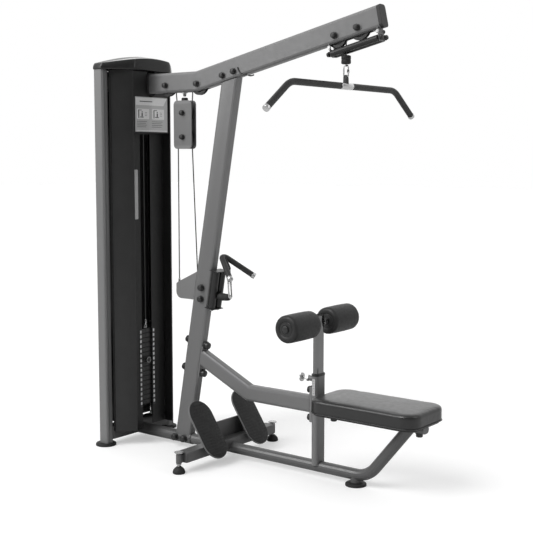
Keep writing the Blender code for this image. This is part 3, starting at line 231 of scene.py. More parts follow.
def soft_rubber(name, grey, roughness, grain=700.0, depth=0.35):
    finish = Finish(name, grey, roughness)
    finish.tone(finish.noise(30.0, 4.0), 0.16)
    finish.rough(finish.noise(90.0), roughness - 0.08, roughness + 0.08)
    finish.bump(finish.noise(grain, 3.0), depth, 0.0002)
    return finish.material


def bright_metal(name, grey, low_rough, high_rough, stretch=(1.0, 1.0, 1.0)):
    """Plated steel with faint drawn lines along one direction."""
    finish = Finish(name, grey, low_rough, 1.0)
    finish.tone(finish.noise(9.0), 0.04)
    lines = finish.noise(60.0, 5.0, finish.stretched(stretch))
    finish.rough(lines, low_rough, high_rough)
    finish.bump(lines, 0.03, 0.0001)
    return finish.material


def upholstery(name, grey):
    """Vinyl: small leather grain over broader creasing, under a light clear coat, with gloss varied at
    random.
    """
    finish = Finish(name, grey, 0.45)
    finish.shader.inputs["Coat Weight"].default_value = 0.30
    finish.shader.inputs["Coat Roughness"].default_value = 0.35
    grain = finish.cells(560.0, "SMOOTH_F1")
    finish.tone(finish.noise(16.0, 5.0), 0.10)
    finish.over(finish.ranged(grain, 0.0, 0.5, 0.22, 0.0), (grey * 0.55,) * 3)
    finish.rough(finish.noise(45.0, 4.0), 0.30, 0.38)
    finish.bump(finish.noise(110.0, 4.0), 0.08, 0.0004)
    finish.bump(grain, 0.25, 0.0003)
    return finish.material


def cast_iron(name, grey):
    finish = Finish(name, grey, 0.5, 0.3)
    finish.tone(finish.noise(45.0, 5.0), 0.20)
    finish.over(finish.ranged(finish.edges(), 0.0, 1.0, 0.0, 0.5), (0.16,) * 3)
    finish.rough(finish.noise(120.0), 0.42, 0.62)
    finish.bump(finish.noise(500.0, 4.0), 0.30, 0.0003)
    return finish.material


def wire_rope(name, grey):
    """Coated cable: the lay of the strands shows faintly through the coating."""
    finish = Finish(name, grey, 0.38, 0.35)
    finish.tone(finish.noise(400.0), 0.20)
    lay = finish.node("ShaderNodeTexWave", wave_type="BANDS", bands_direction="DIAGONAL", Scale=95.0)
    finish.link(finish.place, lay.inputs["Vector"])
    finish.rough(finish.noise(200.0), 0.32, 0.46)
    finish.bump(lay.outputs["Fac"], 0.35, 0.0003)
    return finish.material


def printed(name, grey, roughness):
    finish = Finish(name, grey, roughness)
    finish.tone(finish.noise(240.0, 3.0), 0.05)
    finish.rough(finish.noise(70.0), roughness - 0.05, roughness + 0.05)
    return finish.material


PAINT = powder_coat("paint_grey", 0.175)
# A darker copy of the same grey powder coat for the low rails and beams: painted shade for the parts near the
# floor.
RAIL_PAINT_SHADED = powder_coat("paint_rail_shaded", 0.110)
DARK_PAINT = powder_coat("paint_dark", 0.045)
SHROUD = moulded_plastic("plastic_shroud", 0.018, 0.33)
PANEL = moulded_plastic("plastic_panel", 0.013, 0.50)
NYLON = moulded_plastic("plastic_nylon", 0.016, 0.34)
CAPS = moulded_plastic("plastic_bolt_cap", 0.022, 0.36, 2500.0)
RUBBER = soft_rubber("rubber_black", 0.014, 0.70)
GRIP = soft_rubber("rubber_grip", 0.020, 0.52, 1300.0, 0.5)
FOAM = soft_rubber("foam_skin", 0.013, 0.52, 900.0, 0.45)
TREAD = soft_rubber("rubber_tread", 0.018, 0.62, 500.0, 0.5)
CHROME = bright_metal("chrome_plate", 0.66, 0.05, 0.12, (1.0, 1.0, 0.05))
# A darker copy of the chrome for the thigh post: painted shade in place of the dark surroundings it would
# reflect.
POST_CHROME_SHADED = bright_metal("chrome_post_shaded", 0.22, 0.04, 0.10, (1.0, 1.0, 0.05))
ZINC = bright_metal("zinc_plate", 0.50, 0.22, 0.36)
CAST_CAP = bright_metal("alloy_end_cap", 0.62, 0.26, 0.40)
VINYL = upholstery("vinyl_charcoal", 0.016)
PIPING = upholstery("vinyl_piping", 0.014)
IRON = cast_iron("iron_plates", 0.020)
CABLE = wire_rope("cable_coated", 0.075)
LABEL_PALE = printed("label_pale", 0.80, 0.45)
LABEL_MID = printed("label_mid", 0.52, 0.45)
LABEL_DARK = printed("label_dark", 0.05, 0.45)
LABEL_INK = printed("label_ink", 0.02, 0.50)


# ---------------------------------------------------------------- mesh building

def frame_along(direction, side=None):
    """A turn whose Z axis lies along a direction."""
    forward = Vector(direction).normalized()
    hint = Vector(side) if side else (Z if abs(forward.z) < 0.9 else X)
    across = hint.cross(forward).normalized()
    up = forward.cross(across)
    return Matrix((across, up, forward)).transposed().to_4x4()


def circle(radius, sides):
    return [(radius * math.cos(math.tau * i / sides), radius * math.sin(math.tau * i / sides))
            for i in range(sides)]


def stadium(wide, deep, steps=8):
    """Points round a flat oval, wide along x and deep along y."""
    radius = min(wide, deep) / 2
    return rounded(wide, deep, radius * 0.9999, steps)


def rounded(wide, deep, radius, steps=5):
    """Points round a rectangle with round corners."""
    points = []
    for corner, (side_x, side_y) in enumerate(((1, 1), (-1, 1), (-1, -1), (1, -1))):
        for step in range(steps + 1):
            angle = math.pi / 2 * (corner + step / steps)
            points.append((side_x * (wide / 2 - radius) + radius * math.cos(angle),
                           side_y * (deep / 2 - radius) + radius * math.sin(angle)))
    return points


def inset(outline, distance):
    """An outline moved inwards by a distance, corner by corner."""
    moved = []
    count = len(outline)
    for i, point in enumerate(outline):
        before, here, after = Vector(outline[i - 1]), Vector(point), Vector(outline[(i + 1) % count])
        first, second = (here - before), (after - here)
        first = first.normalized() if first.length > 1e-9 else second.normalized()
        second = second.normalized() if second.length > 1e-9 else first
        normal = Vector((-first.y - second.y, first.x + second.x)).normalized()
        reach = distance / max(0.4, normal.dot(Vector((-second.y, second.x))))
        moved.append((here.x + normal.x * reach, here.y + normal.y * reach))
    return moved


class Piece:
    """Geometry for one named piece, built up from turned, extruded and swept shapes."""

    def __init__(self, name):
        self.name = name
        self.mesh = bmesh.new()

    def rings(self, rings, closed=False, caps=True):
        """Skins a list of equal rings of points."""
        made = [[self.mesh.verts.new(point) for point in ring] for ring in rings]
        pairs = list(zip(made, made[1:]))
        if closed:
            pairs.append((made[-1], made[0]))
        for first, second in pairs:
            for i in range(len(first)):
                j = (i + 1) % len(first)
                self.mesh.faces.new((first[i], first[j], second[j], second[i]))
        if caps and not closed:
            self.mesh.faces.new(list(reversed(made[0])))
            self.mesh.faces.new(made[-1])
        return self

    def turned(self, place, axis, profile, sides=32, hollow=False):
        """A profile of (height, radius) points turned about an axis through a place."""
        turn = Matrix.Translation(place) @ frame_along(axis)
        rings = [[turn @ Vector((x, y, height)) for x, y in circle(max(radius, 1e-5), sides)]
                 for height, radius in profile]
        return self.rings(rings, closed=hollow)

    def slab(self, outline, bottom, top, turn, soft=0.0, steps=3):
        """An outline given thickness along its own Z, with its edges rounded."""
        levels = []
        if soft:
            for step in range(steps + 1):
                angle = math.pi / 2 * step / steps
                levels.append((soft * (1 - math.sin(angle)), bottom + soft * (1 - math.cos(angle))))
            levels += [(edge, top - (height - bottom)) for edge, height in reversed(levels)]
        else:
            levels = [(0.0, bottom), (0.0, top)]
        rings = [[turn @ Vector((x, y, height)) for x, y in inset(outline, edge)] for edge, height in levels]
        return self.rings(rings)

    def swept(self, points, outline, up=None, closed=False):
        """An outline carried along points, square to the path."""
        points = [Vector(point) for point in points]
        count = len(points)
        rings = []
        side = Vector(up) if up else None
        for i, point in enumerate(points):
            ahead = points[(i + 1) % count] if closed or i < count - 1 else point
            behind = points[i - 1] if closed or i > 0 else point
            forward = (ahead - behind).normalized()
            if side is None:
                side = Z if abs(forward.z) < 0.9 else X
            across = side.cross(forward).normalized()
            lift = forward.cross(across)
            if up is None:
                side = lift
            rings.append([point + across * x + lift * y for x, y in outline])
        return self.rings(rings, closed=closed)

    def rod(self, points, radius, sides=20, closed=False, up=None):
        return self.swept(points, circle(radius, sides), up, closed)

    def done(self, body, finish, slot, smooth=38.0, replaced=()):
        """Makes the object, and rides it on its body."""
        bmesh.ops.remove_doubles(self.mesh, verts=self.mesh.verts, dist=2e-5)
        bmesh.ops.recalc_face_normals(self.mesh, faces=self.mesh.faces)
        data = bpy.data.meshes.new(self.name)
        self.mesh.to_mesh(data)
        self.mesh.free()
        data.materials.append(finish)
        made = bpy.data.objects.new(self.name, data)
        bpy.context.scene.collection.objects.link(made)
        data.shade_smooth()
        data.set_sharp_from_angle(angle=math.radians(smooth))
        if body:
            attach(made, body)
        if replaced:
            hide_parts(*replaced)
        SHOWN.append(made)
        return made


def flat(place, normal, up=Z):
    """A turn that lays an outline's x across and y up on a face with this normal, at a place."""
    out = Vector(normal).normalized()
    lift = (Vector(up) - out * out.dot(Vector(up))).normalized()
    across = lift.cross(out)
    return Matrix.Translation(place) @ Matrix((across, lift, out)).transposed().to_4x4()


def arc(start, end, steps):
    return [math.radians(start + (end - start) * step / steps) for step in range(steps + 1)]


def bend(before, corner, after, radius, steps=10):
    """Points of the arc that rounds the corner between two straight runs."""
    first, second = (before - corner).normalized(), (after - corner).normalized()
    half = first.angle(second) / 2
    centre = corner + (first + second).normalized() * (radius / math.sin(half))
    start = corner + first * (radius / math.tan(half)) - centre
    end = corner + second * (radius / math.tan(half)) - centre
    axis = start.cross(end).normalized()
    swing = start.angle(end)
    return [centre + Matrix.Rotation(swing * step / steps, 3, axis) @ start for step in range(steps + 1)]


# ---------------------------------------------------------------- fasteners

CAP_PROFILE = ((0.0, 0.0165), (0.0035, 0.0165), (0.0042, 0.0158), (0.0043, 0.0142), (0.0135, 0.0138),
               (0.0158, 0.0130), (0.0172, 0.0108), (0.0180, 0.0070), (0.0182, 0.0))


def bolt_caps(name, body, places, size=1.0, slot="shroud_plastic"):
    """Domed plastic caps over bolt heads: a washer flange under a round-edged cap."""
    piece = Piece(name)
    for place, normal in places:
        profile = [(height * size, radius * size) for height, radius in CAP_PROFILE]
        piece.turned(place, normal, profile, 28)
    return piece.done(body, CAPS, slot, 50.0)


def hex_bolts(name, body, places, finish, across=0.017, tall=0.007, slot="zinc_steel"):
    """Hexagon heads with a chamfered crown on a plain washer."""
    piece = Piece(name)
    for place, normal in places:
        piece.turned(place, normal, ((0.0, across * 0.72), (0.0014, across * 0.72)), 28)
        turn = Matrix.Translation(place) @ frame_along(normal)
        rings = []
        for height, radius in ((0.0014, 0.577), (tall * 0.82, 0.577), (tall, 0.50)):
            rings.append([turn @ Vector((x, y, height)) for x, y in circle(across * radius, 6)])
        piece.rings(rings)
    return piece.done(body, finish, slot, 25.0)


# ---------------------------------------------------------------- CAD nodes that stay

def finish_cad_nodes():
    """Every CAD node that stays gets its procedural finish."""
    finishes = {
        "tower_post_left": PAINT, "tower_post_right": PAINT, "boom": PAINT, "column": PAINT,
        "row_bracket": PAINT, "bench_beam": PAINT, "floating_block": PAINT,
        "tower_base_beam": RAIL_PAINT_SHADED, "tower_top_beam": DARK_PAINT, "base_rail": RAIL_PAINT_SHADED,
        "seat_post": PAINT, "cross_beam": RAIL_PAINT_SHADED,
        "side_shroud_left": SHROUD, "side_shroud_right": SHROUD, "front_panel": PANEL,
        "rear_cover": SHROUD, "top_cap": SHROUD, "boom_end_cap": SHROUD,
        "lat_guide_roller_left": NYLON, "lat_guide_roller_right": NYLON,
        "row_guide_roller_left": NYLON, "row_guide_roller_right": NYLON,
        "row_roller_cage": CAPS, "guide_rod_left": CHROME, "guide_rod_right": CHROME,
        "thigh_post": POST_CHROME_SHADED, "pull_pin": CHROME, "selector_pin": CHROME, "selector_stem": ZINC,
        "tower_foot_left": RUBBER, "tower_foot_right": RUBBER, "bench_foot": RUBBER,
    }
    for name, node in frame["nodes"].items():
        kind = "NYLON" if "pulley" in name and "cable" not in name else ""
        made = finishes.get(name) or (NYLON if kind else CABLE if "cable" in name else RUBBER)
        node.data.materials.clear()
        node.data.materials.append(made)
        node.data.shade_smooth()
        node.data.set_sharp_from_angle(angle=math.radians(35.0))


finish_cad_nodes()


# ---------------------------------------------------------------- tower

def cap_plan(steps=14):
    """Half the cap's plan, from the back centre round to the front centre, as the CAD cap has it."""
    back, edge, front, half = -0.0628, -0.0308, 0.0358, 0.2558
    points = [(back, 0.0), (back, 0.060), (back, 0.120), (back, 0.181), (edge, 0.201), (edge, 0.242),
              (edge + 0.0015, 0.2490), (edge + 0.0050, 0.2535), (edge + 0.012, half), (front - 0.008, half),
              (front - 0.003, 0.2550), (front, 0.2528)]
    start, bulge, lip = Vector((front, 0.2528)), Vector((0.094, 0.197)), Vector((0.137, 0.1395))
    for step in range(1, steps + 1):
        t = step / steps
        points.append(tuple(start * (1 - t) ** 2 + bulge * 2 * t * (1 - t) + lip * t ** 2))
    points += [(0.1405, 0.1345), (0.1427, 0.129), (0.1445, 0.118), (0.1458, 0.095), (0.1464, 0.060),
               (0.1467, 0.030), (0.1467, 0.0)]
    return points


def cap_wall(y):
    """Height of the cap's side wall, arched across the machine."""
    return 0.030 + 0.032 * math.cos(math.pi / 2 * min(abs(y) / 0.256, 1.0))


def top_cap():
    """The arched moulding with a crowned top, and a bright alloy strip along the front of its slope that is a
    painted highlight.
    """
    base = low("top_cap").z
    crown = high("top_cap").z - base - cap_wall(0.0) - 0.0004
    half = cap_plan()
    ring = half + [(x, -y) for x, y in reversed(half[1:-1])]
    middle_x = 0.045

    def level(scale, height):
        return [at(middle_x + (x - middle_x) * scale, y * scale, base + height(y * scale)) for x, y in ring]

    rings = [level(scale, lambda y, rise=rise: rise) for scale, rise in
             ((0.960, 0.002), (0.965, 0.0), (0.990, 0.0006), (0.998, 0.003), (1.0, 0.006))]
    for step in range(1, 9):
        angle = math.pi / 2 * step / 8
        rings.append(level(0.95 + 0.05 * math.cos(angle), lambda y,
                           part=math.sin(angle): 0.006 + (cap_wall(y) - 0.006) * part))
    steps = 12
    for step in range(1, steps + 1):
        share = step / steps
        scale = 0.95 * (1 - share) + 0.01 * share
        rings.append(level(scale, lambda y, share=share: cap_wall(y) + crown * math.sin(math.pi / 2 * share)))
    cap = Piece("top_cap_moulding").rings(rings).done("frame", SHROUD, "shroud_plastic", 60.0, ["top_cap"])
    tree = BVHTree.FromObject(cap, bpy.context.evaluated_depsgraph_get())

    def on_cap(x, y, lift):
        hit = tree.ray_cast(at(x, y, base + 1.0), -Z)[0]
        return at(x, y, (hit.z if hit else base) + lift)

    outline = [point for point in half if point[0] > 0.034]
    # A thin bright alloy strip following the front of the cap's slope: a painted highlight.
    painted_highlight = Piece("top_cap_painted_highlight")
    lower_rows, upper_rows = [], []
    edge = [(x, -y) for x, y in outline] + [(x, y) for x, y in reversed(outline[:-1]) if y < 0.135]
    for index, (x, y) in enumerate(edge):
        share = index / (len(edge) - 1)
        x, y = middle_x + (x - middle_x) * 0.955, y * 0.955
        width = 0.004 + 0.030 * math.sin(math.pi * min(1.0, share)) ** 0.7
        inner = Vector((middle_x - x, -y)).normalized()
        row = [(x + inner.x * width * k / 4, y + inner.y * width * k / 4) for k in range(5)]
        lower_rows.append([on_cap(px, py, -0.0012) for px, py in row])
        upper_rows.append([on_cap(px, py, 0.0010) for px, py in row])
    rings = [upper + list(reversed(lower)) for upper, lower in zip(upper_rows, lower_rows)]
    painted_highlight.rings(rings).done("frame", CAST_CAP, "zinc_steel", 30.0)
    gasket = Piece("boom_gasket")
    face = high("front_panel").x
    outer = rounded(2 * BOOM_HALF_WIDE + 0.013, 2 * BOOM_HALF_DEEP + 0.013, 0.019)
    hole = rounded(2 * BOOM_HALF_WIDE + 0.0008, 2 * BOOM_HALF_DEEP + 0.0008, 0.014)
    rows = []
    for outline_points, out in ((outer, 0.0004), (outer, 0.0064), (inset(outer, 0.002), 0.0084),
                                (hole, 0.0084), (hole, 0.0004)):
        rows.append([Vector((face + out, x, BOOM_Z + y)) for x, y in outline_points])
    gasket.rings(rows, closed=True).done("frame", RUBBER, "rubber", 40.0)


def placard():
    """The instruction placard: blank header band, two outline figures and rows of plain bars."""
    face_x = high("front_panel").x
    wide, tall = 0.234, 0.176
    centre_z = 1.700
    turn = flat((face_x + 0.0003, 0.0, centre_z), X)
    Piece("placard_plate").slab(rounded(wide, tall, 0.004), 0.0, 0.0022, turn, 0.0006, 1).done(
        "frame", LABEL_MID, "shroud_plastic")
    sheet = 0.0022
    pale = Piece("placard_header")
    top, base = tall / 2 - 0.004, tall / 2 - 0.042
    left, right = -wide / 2 + 0.004, wide / 2 - 0.004
    pale.slab([(right - 0.026, base), (right, top), (left, top), (left, base)][::-1], sheet, sheet + 0.0003,
              turn)
    for centre_x in (-0.062, 0.048):
        pale.slab(rounded(0.088, 0.052, 0.003), sheet, sheet + 0.0003,
                  turn @ Matrix.Translation((centre_x, 0.002, 0.0)))
    pale.slab(rounded(wide - 0.010, 0.003, 0.001), sheet, sheet + 0.0003,
              turn @ Matrix.Translation((0.0, -tall / 2 + 0.006, 0.0)))
    pale.done("frame", LABEL_PALE, "shroud_plastic")
    ink = Piece("placard_figures")
    level = sheet + 0.0003

    def bar(x, y, wide, tall):
        ink.slab(rounded(wide, tall, min(wide, tall) * 0.3, 2), level, level + 0.0003,
                 turn @ Matrix.Translation((x, y, 0.0)))

    for centre_x in (-0.075, 0.035):
        bar(centre_x - 0.018, 0.002, 0.006, 0.042)
        bar(centre_x - 0.006, 0.021, 0.022, 0.003)
        bar(centre_x + 0.004, -0.014, 0.026, 0.004)
        bar(centre_x + 0.006, -0.002, 0.008, 0.018)
        bar(centre_x + 0.006, 0.012, 0.007, 0.006)
        for row in range(3):
            bar(centre_x + 0.034, 0.010 - row * 0.008, 0.014, 0.0016)
    for row in range(4):
        for centre_x, length in ((-0.070, 0.070), (0.040, 0.078)):
            bar(centre_x - row % 2 * 0.004, -0.036 - row * 0.009, length - row % 2 * 0.008, 0.0018)
    bar(-0.040, top - 0.019, 0.092, 0.004)
    ink.done("frame", LABEL_INK, "shroud_plastic")


def weight_labels():
    """Strips beside the slot with a pale mark for each plate, and the pale adjustment strip."""
    face_x = high("side_shroud_left").x
    panel_x = MACHINE_X + 0.0795
    bottom, top = low("resting_plates").z - 0.008, high("carried_plates").z - 0.004
    strips = Piece("weight_label_strips")
    marks = Piece("weight_label_marks")
    pitch = (high("carried_plates").z - low("resting_plates").z) / 16
    for side in (-1, 1):
        turn = flat((panel_x, side * 0.0475, (bottom + top) / 2), X)
        strips.slab(rounded(0.017, top - bottom, 0.002), 0.0, 0.0012, turn, 0.0003, 1)
        for index in range(16):
            height = low("resting_plates").z + pitch * (index + 0.5)
            spot = flat((panel_x + 0.0012, side * 0.0475, height), X)
            marks.slab(rounded(0.0100, 0.0150, 0.001, 2), 0.0, 0.0003, spot)
    strips.done("frame", LABEL_DARK, "shroud_plastic")
    marks.done("frame", LABEL_PALE, "shroud_plastic")
    Piece("adjustment_strip").slab(rounded(0.026, 0.255, 0.006), 0.0, 0.0014,
                                   flat((panel_x, -0.0670, 1.2925), X),
                                   0.0005, 2).done("frame", LABEL_MID, "shroud_plastic")
    edge = Piece("shroud_edge_beads")
    for side in (-1, 1):
        height_low, height_high = low("side_shroud_left").z, high("side_shroud_left").z
        line = [Vector((face_x - 0.0018, side * 0.1328, z)) for z in (height_low + 0.001,
                height_high - 0.001)]
        edge.rod(line, 0.0024, 12)
    edge.done("frame", SHROUD, "shroud_plastic")
    # Dark rubber strips set in the gap between each post and its shroud: painted shadow for the shade in that
    # gap.
    shadow_strip = Piece("shroud_post_shadow_strips")
    tall = high("side_shroud_left").z - low("side_shroud_left").z
    for side in (-1, 1):
        shadow_strip.slab(rounded(0.011, 0.0064, 0.001, 2), 0.0, tall,
                  Matrix.Translation((MACHINE_X + 0.0395, side * 0.2033, low("side_shroud_left").z)))
    shadow_strip.done("frame", RUBBER, "rubber")


def weight_plates(name, body, node, count):
    """Separate plates with broken edges, on one body."""
    bottom, top = low(node), high(node)
    pitch = (top.z - bottom.z + 0.0012) / count
    wide, deep = top.x - bottom.x, top.y - bottom.y
    centre = middle(node)
    plates = Piece(name)
    # Dark ink discs on the plates' front stand in for the pin holes: painted shade in place of the holes'
    # shadowed hollows.
    hole_shades = Piece(name + "_pin_hole_shades")
    for index in range(count):
        base = bottom.z + index * pitch + 0.0002
        hole_shades.turned(Vector((top.x - 0.0010, 0.0, base + pitch * 0.46)), X,
                     ((0.0, 0.0050), (0.0006, 0.0056), (0.0012, 0.0056), (0.0013, 0.0040), (0.0013, 0.0)), 20)
        turn = Matrix.Translation((centre.x, 0.0, base))
        plates.slab(rounded(wide, deep, 0.006, 3), 0.0, pitch - 0.0016, turn, 0.0022, 2)
    plates.done(body, IRON, "weight_iron", 30.0, [node])
    hole_shades.done(body, LABEL_INK, "weight_iron", 30.0)


def selector_pin():
    """The ring-headed pin on its short lanyard collar."""
    node = "selector_pin"
    tip, end = low(node), high(node)
    height = middle(node).z
    back = end.x - 0.026
    pin = Piece("selector_pin_shaft")
    pin.turned(Vector((tip.x, 0.0, height)), X, ((0.0, 0.0030), (0.002, 0.0045), (back - tip.x, 0.0045)), 20)
    pin.turned(Vector((back, 0.0, height)), X, ((0.0, 0.0078), (0.001, 0.0085), (0.008, 0.0085),
                                                (0.010, 0.0060)), 24)
    pin.done("selector_pin", CHROME, "chrome", 40.0, [node])
    knob = Piece("selector_pin_knob")
    profile = [(0.0, 0.0058), (0.001, 0.0100), (0.003, 0.0140), (0.006, 0.0145), (0.011, 0.0145),
               (0.014, 0.0132), (0.0155, 0.0095), (0.016, 0.0)]
    knob.turned(Vector((end.x - 0.0160, 0.0, height)), X, profile, 32)
    knob.done("selector_pin", CAPS, "shroud_plastic", 50.0)
    band = Piece("selector_pin_ring")
    band.turned(Vector((end.x - 0.0070, 0.0, height)), X, ((0.0, 0.0120), (0.0, 0.0149), (0.0040, 0.0149),
                (0.0048, 0.0143), (0.0048, 0.0120)), 32, True)
    band.done("selector_pin", CHROME, "chrome", 40.0)


def selector_eye():
    """The ferrule that crimps the lat cable above the stem's ring."""
    top = high("selector_stem")
    drop = middle("lat_cable_at_stack").x
    fitting = Piece("selector_stem_ferrule")
    fitting.turned(Vector((drop, 0.0, top.z - 0.0130)), Z, ((0.0, 0.0052), (0.001, 0.0062), (0.012, 0.0062),
                   (0.016, 0.0050), (0.020, 0.0036)), 20)
    fitting.done("stack_carriage", ZINC, "zinc_steel", 25.0)


# ---------------------------------------------------------------- pulleys, rollers and fasteners

def pulleys():
    """Grooved wheels with a dished web, a steel hub and a bearing seal."""
    names = ["tower_pulley", "rear_boom_pulley_back", "rear_boom_pulley_front", "front_boom_pulley_back",
             "front_boom_pulley_front", "block_pulley_upper", "block_pulley_lower", "row_pulley"]
    for node in names:
        place = middle(node)
        half = (high(node).y - low(node).y) / 2
        rim = (high(node).z - low(node).z) / 2 + 0.0006
        groove = rim - 0.0130
        side = [(half, 0.0068), (half, 0.0150), (half - 0.0022, 0.0165), (half - 0.0026, rim - 0.0165),
                (half, rim - 0.0135), (half, rim - 0.0008), (half - 0.0010, rim), (half - 0.0022,
                        rim - 0.0002),
                (0.0036, groove + 0.0010), (0.0020, groove)]
        profile = side + [(-height, radius) for height, radius in reversed(side)]
        wheel = Piece(node + "_wheel").turned(place, Y, profile, 48, True)
        wheel.done(node, NYLON, "pulley_nylon", 35.0, [node])
        hub = Piece(node + "_hub")
        for direction in (Y, -Y):
            hub.turned(place + direction * (half - 0.0010), direction,
                       ((0.0, 0.0070), (0.0, 0.0130), (0.0014, 0.0130), (0.0018, 0.0120), (0.0018, 0.0070)),
                       28, True)
        hub.done(node, ZINC, "zinc_steel")


def guide_roller_ends():
    """Steel end bolts for the long guide rollers under the boom and in front of the column."""
    for side, word in ((-1, "left"), (1, "right")):
        place = joint_place(f"lat_guide_roller_{word}_spin")
        half = 0.1345
        caps = [(place + BOOM_DIRECTION * half * end, BOOM_DIRECTION * end) for end in (-1, 1)]
        bolt_caps(f"lat_roller_bolts_{word}", "frame", caps, 0.72)
    nuts = []
    for side in (-1, 1):
        for x in (1.232, 1.482):
            spot = boom_point(x, 0.062, side * 0.0235)
            nuts.append((spot, Y * side))
    hex_bolts("lat_hanger_nuts", "frame", nuts, ZINC, 0.013, 0.006)
    ends = []
    for word in ("left", "right"):
        place = joint_place(f"row_guide_roller_{word}_spin")
        ends.append((place - COLUMN_DIRECTION * 0.0905, -COLUMN_DIRECTION))
        ends.append((place + COLUMN_DIRECTION * 0.0905, COLUMN_DIRECTION))
    hex_bolts("row_roller_nuts", "frame", ends, ZINC, 0.017, 0.009)


def boom_fasteners():
    """Caps over every axle and joint bolt on both faces of the boom and column."""
    axles = [joint_place(name) for name in ("rear_pulley_back_spin", "rear_pulley_front_spin",
                                            "front_pulley_back_spin", "front_pulley_front_spin")]
    places = []
    for side in (-1, 1):
        face = side * (BOOM_HALF_WIDE + 0.0002)
        for axle in axles:
            places.append((Vector((axle.x, face + side * 0.0018, axle.z)), Y * side))
        for x, drop in ((0.624, 0.0175), (0.693, 0.0165)):
            places.append((boom_point(x, drop, face), Y * side))
    bolt_caps("boom_bolt_caps", "frame", places, 0.92)
    places = []
    for side in (-1, 1):
        face = side * (BOOM_HALF_WIDE + 0.0002)
        places.append((Vector((ROW_PULLEY.x, face + side * 0.0018, ROW_PULLEY.z)), Y * side))
        places.append((at(0.482, face, 0.781), Y * side))
    bolt_caps("column_bolt_caps", "frame", places, 1.05)


def boom_saddle():
    """The dark saddle gasket that shows where the boom sits on the column's head."""
    saddle = Piece("boom_saddle_gasket")
    for side in (-1, 1):
        face = side * (BOOM_HALF_WIDE + 0.0015)
        line = [boom_point(0.722, 0.006, face), boom_point(0.727, 0.028, face), boom_point(0.738, 0.046,
                face),
                boom_point(0.752, 0.0515, face), boom_point(0.768, 0.0515, face)]
        saddle.rod(line, 0.0034, 10, up=Y)
    saddle.done("frame", CAPS, "rubber", 50.0)


def block_fasteners():
    """Axle caps on the floating block's plates, and its bumper and buffer stud."""
    node = "floating_block"
    top = high(node).z
    places = []
    for name in ("block_pulley_upper_spin", "block_pulley_lower_spin"):
        axle = joint_place(name)
        for side in (-1, 1):
            places.append((Vector((axle.x, side * (high(node).y + 0.0001), axle.z)), Y * side))
    bolt_caps("block_bolt_caps", "floating_block", places, 0.86)
    centre = middle(node)
    bumper = Piece("block_bumper")
    bumper.turned(Vector((centre.x, 0.0, top - 0.0135)), Z,
                  ((0.0, 0.0150), (0.001, 0.0162), (0.011, 0.0162), (0.0140, 0.0145), (0.0150, 0.0110),
                   (0.0152, 0.0)), 28)
    bumper.done("floating_block", RUBBER, "rubber", 50.0)
    stud = Piece("boom_buffer_stud")
    base = BOOM_Z - BOOM_HALF_DEEP
    stud.turned(Vector((centre.x, 0.0, base + 0.004)), -Z, ((0.0, 0.0150), (0.0065, 0.0150), (0.0065, 0.0095),
                (0.0125, 0.0095), (0.0135, 0.0070), (0.0220, 0.0065), (0.0232, 0.0050), (0.0235, 0.0)), 24)
    stud.done("frame", ZINC, "zinc_steel")


# ---------------------------------------------------------------- lat end

def oval_ring(piece, top, bottom, wide, radius, across, sides=12, steps=12):
    """A closed oval link between two points, its flat plane holding the across direction."""
    top, bottom = Vector(top), Vector(bottom)
    down = (bottom - top).normalized()
    across = Vector(across)
    points = []
    for centre, sign in ((top + down * wide, -1), (bottom - down * wide, 1)):
        for step in range(steps + 1):
            angle = math.pi * step / steps
            points.append(centre + (across * -sign) * math.cos(angle) * wide
                          + down * sign * math.sin(angle) * wide)
    piece.rod(points, radius, sides, True, across.cross(down))
    return piece


def lat_hanger():
    """The cable's rubber stop and crimp, with the quick link and its threaded sleeve below."""
    node = "lat_stop_and_link"
    bottom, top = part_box(node)
    centre = middle(node)
    radius = (top.x - bottom.x) / 2
    base = top.z - 0.039
    stop = Piece("lat_cable_stop")
    stop.turned(Vector((centre.x, 0.0, base)), Z,
                ((-0.0002, 0.0), (0.0, radius - 0.006), (0.002, radius - 0.0015), (0.004, radius), (0.016,
                        radius),
                 (0.0175, radius - 0.0012), (0.0205, radius - 0.0012), (0.022, radius), (0.034, radius),
                 (0.037, radius - 0.002), (0.0385, radius - 0.007), (0.0388, 0.0)), 40)
    stop.done("lat_hanger", RUBBER, "rubber", 40.0, [node])
    link = Piece("lat_quick_link")
    link.turned(Vector((centre.x, 0.0, base - 0.011)), Z, ((0.0, 0.0058), (0.001, 0.0068), (0.010, 0.0068),
                                                           (0.0115, 0.0055)), 20)
    oval_ring(link, (centre.x, 0.0, base - 0.004), (centre.x, 0.0, bottom.z + 0.001), 0.0118, 0.0034, X)
    link.turned(Vector((centre.x + 0.0118, 0.0, (base + bottom.z) / 2 - 0.008)), Z,
                ((0.0, 0.0048), (0.001, 0.0056), (0.015, 0.0056), (0.016, 0.0048)), 6)
    link.done("lat_hanger", CHROME, "chrome", 40.0)


def capped_grip(name, body, line, radius, slot_nodes, ends):
    """A rubber-gripped bar along a line, with flared collars and alloy caps at its ends."""
    bar = Piece(name)
    bar.rod(line, radius, 28)
    made = bar.done(body, GRIP, "rubber", 50.0, slot_nodes)
    caps = Piece(name + "_end_caps")
    for place, direction in ends:
        caps.turned(Vector(place) - Vector(direction) * 0.016, direction,
                    ((0.0, radius + 0.0003), (0.001, radius + 0.0012), (0.0135, radius + 0.0012), (0.0152,
                            radius + 0.0002),
                     (0.0160, radius - 0.0022), (0.0155, radius - 0.0032), (0.0155, 0.0)), 32)
    caps.done(body, CAST_CAP, "zinc_steel", 40.0)
    return made


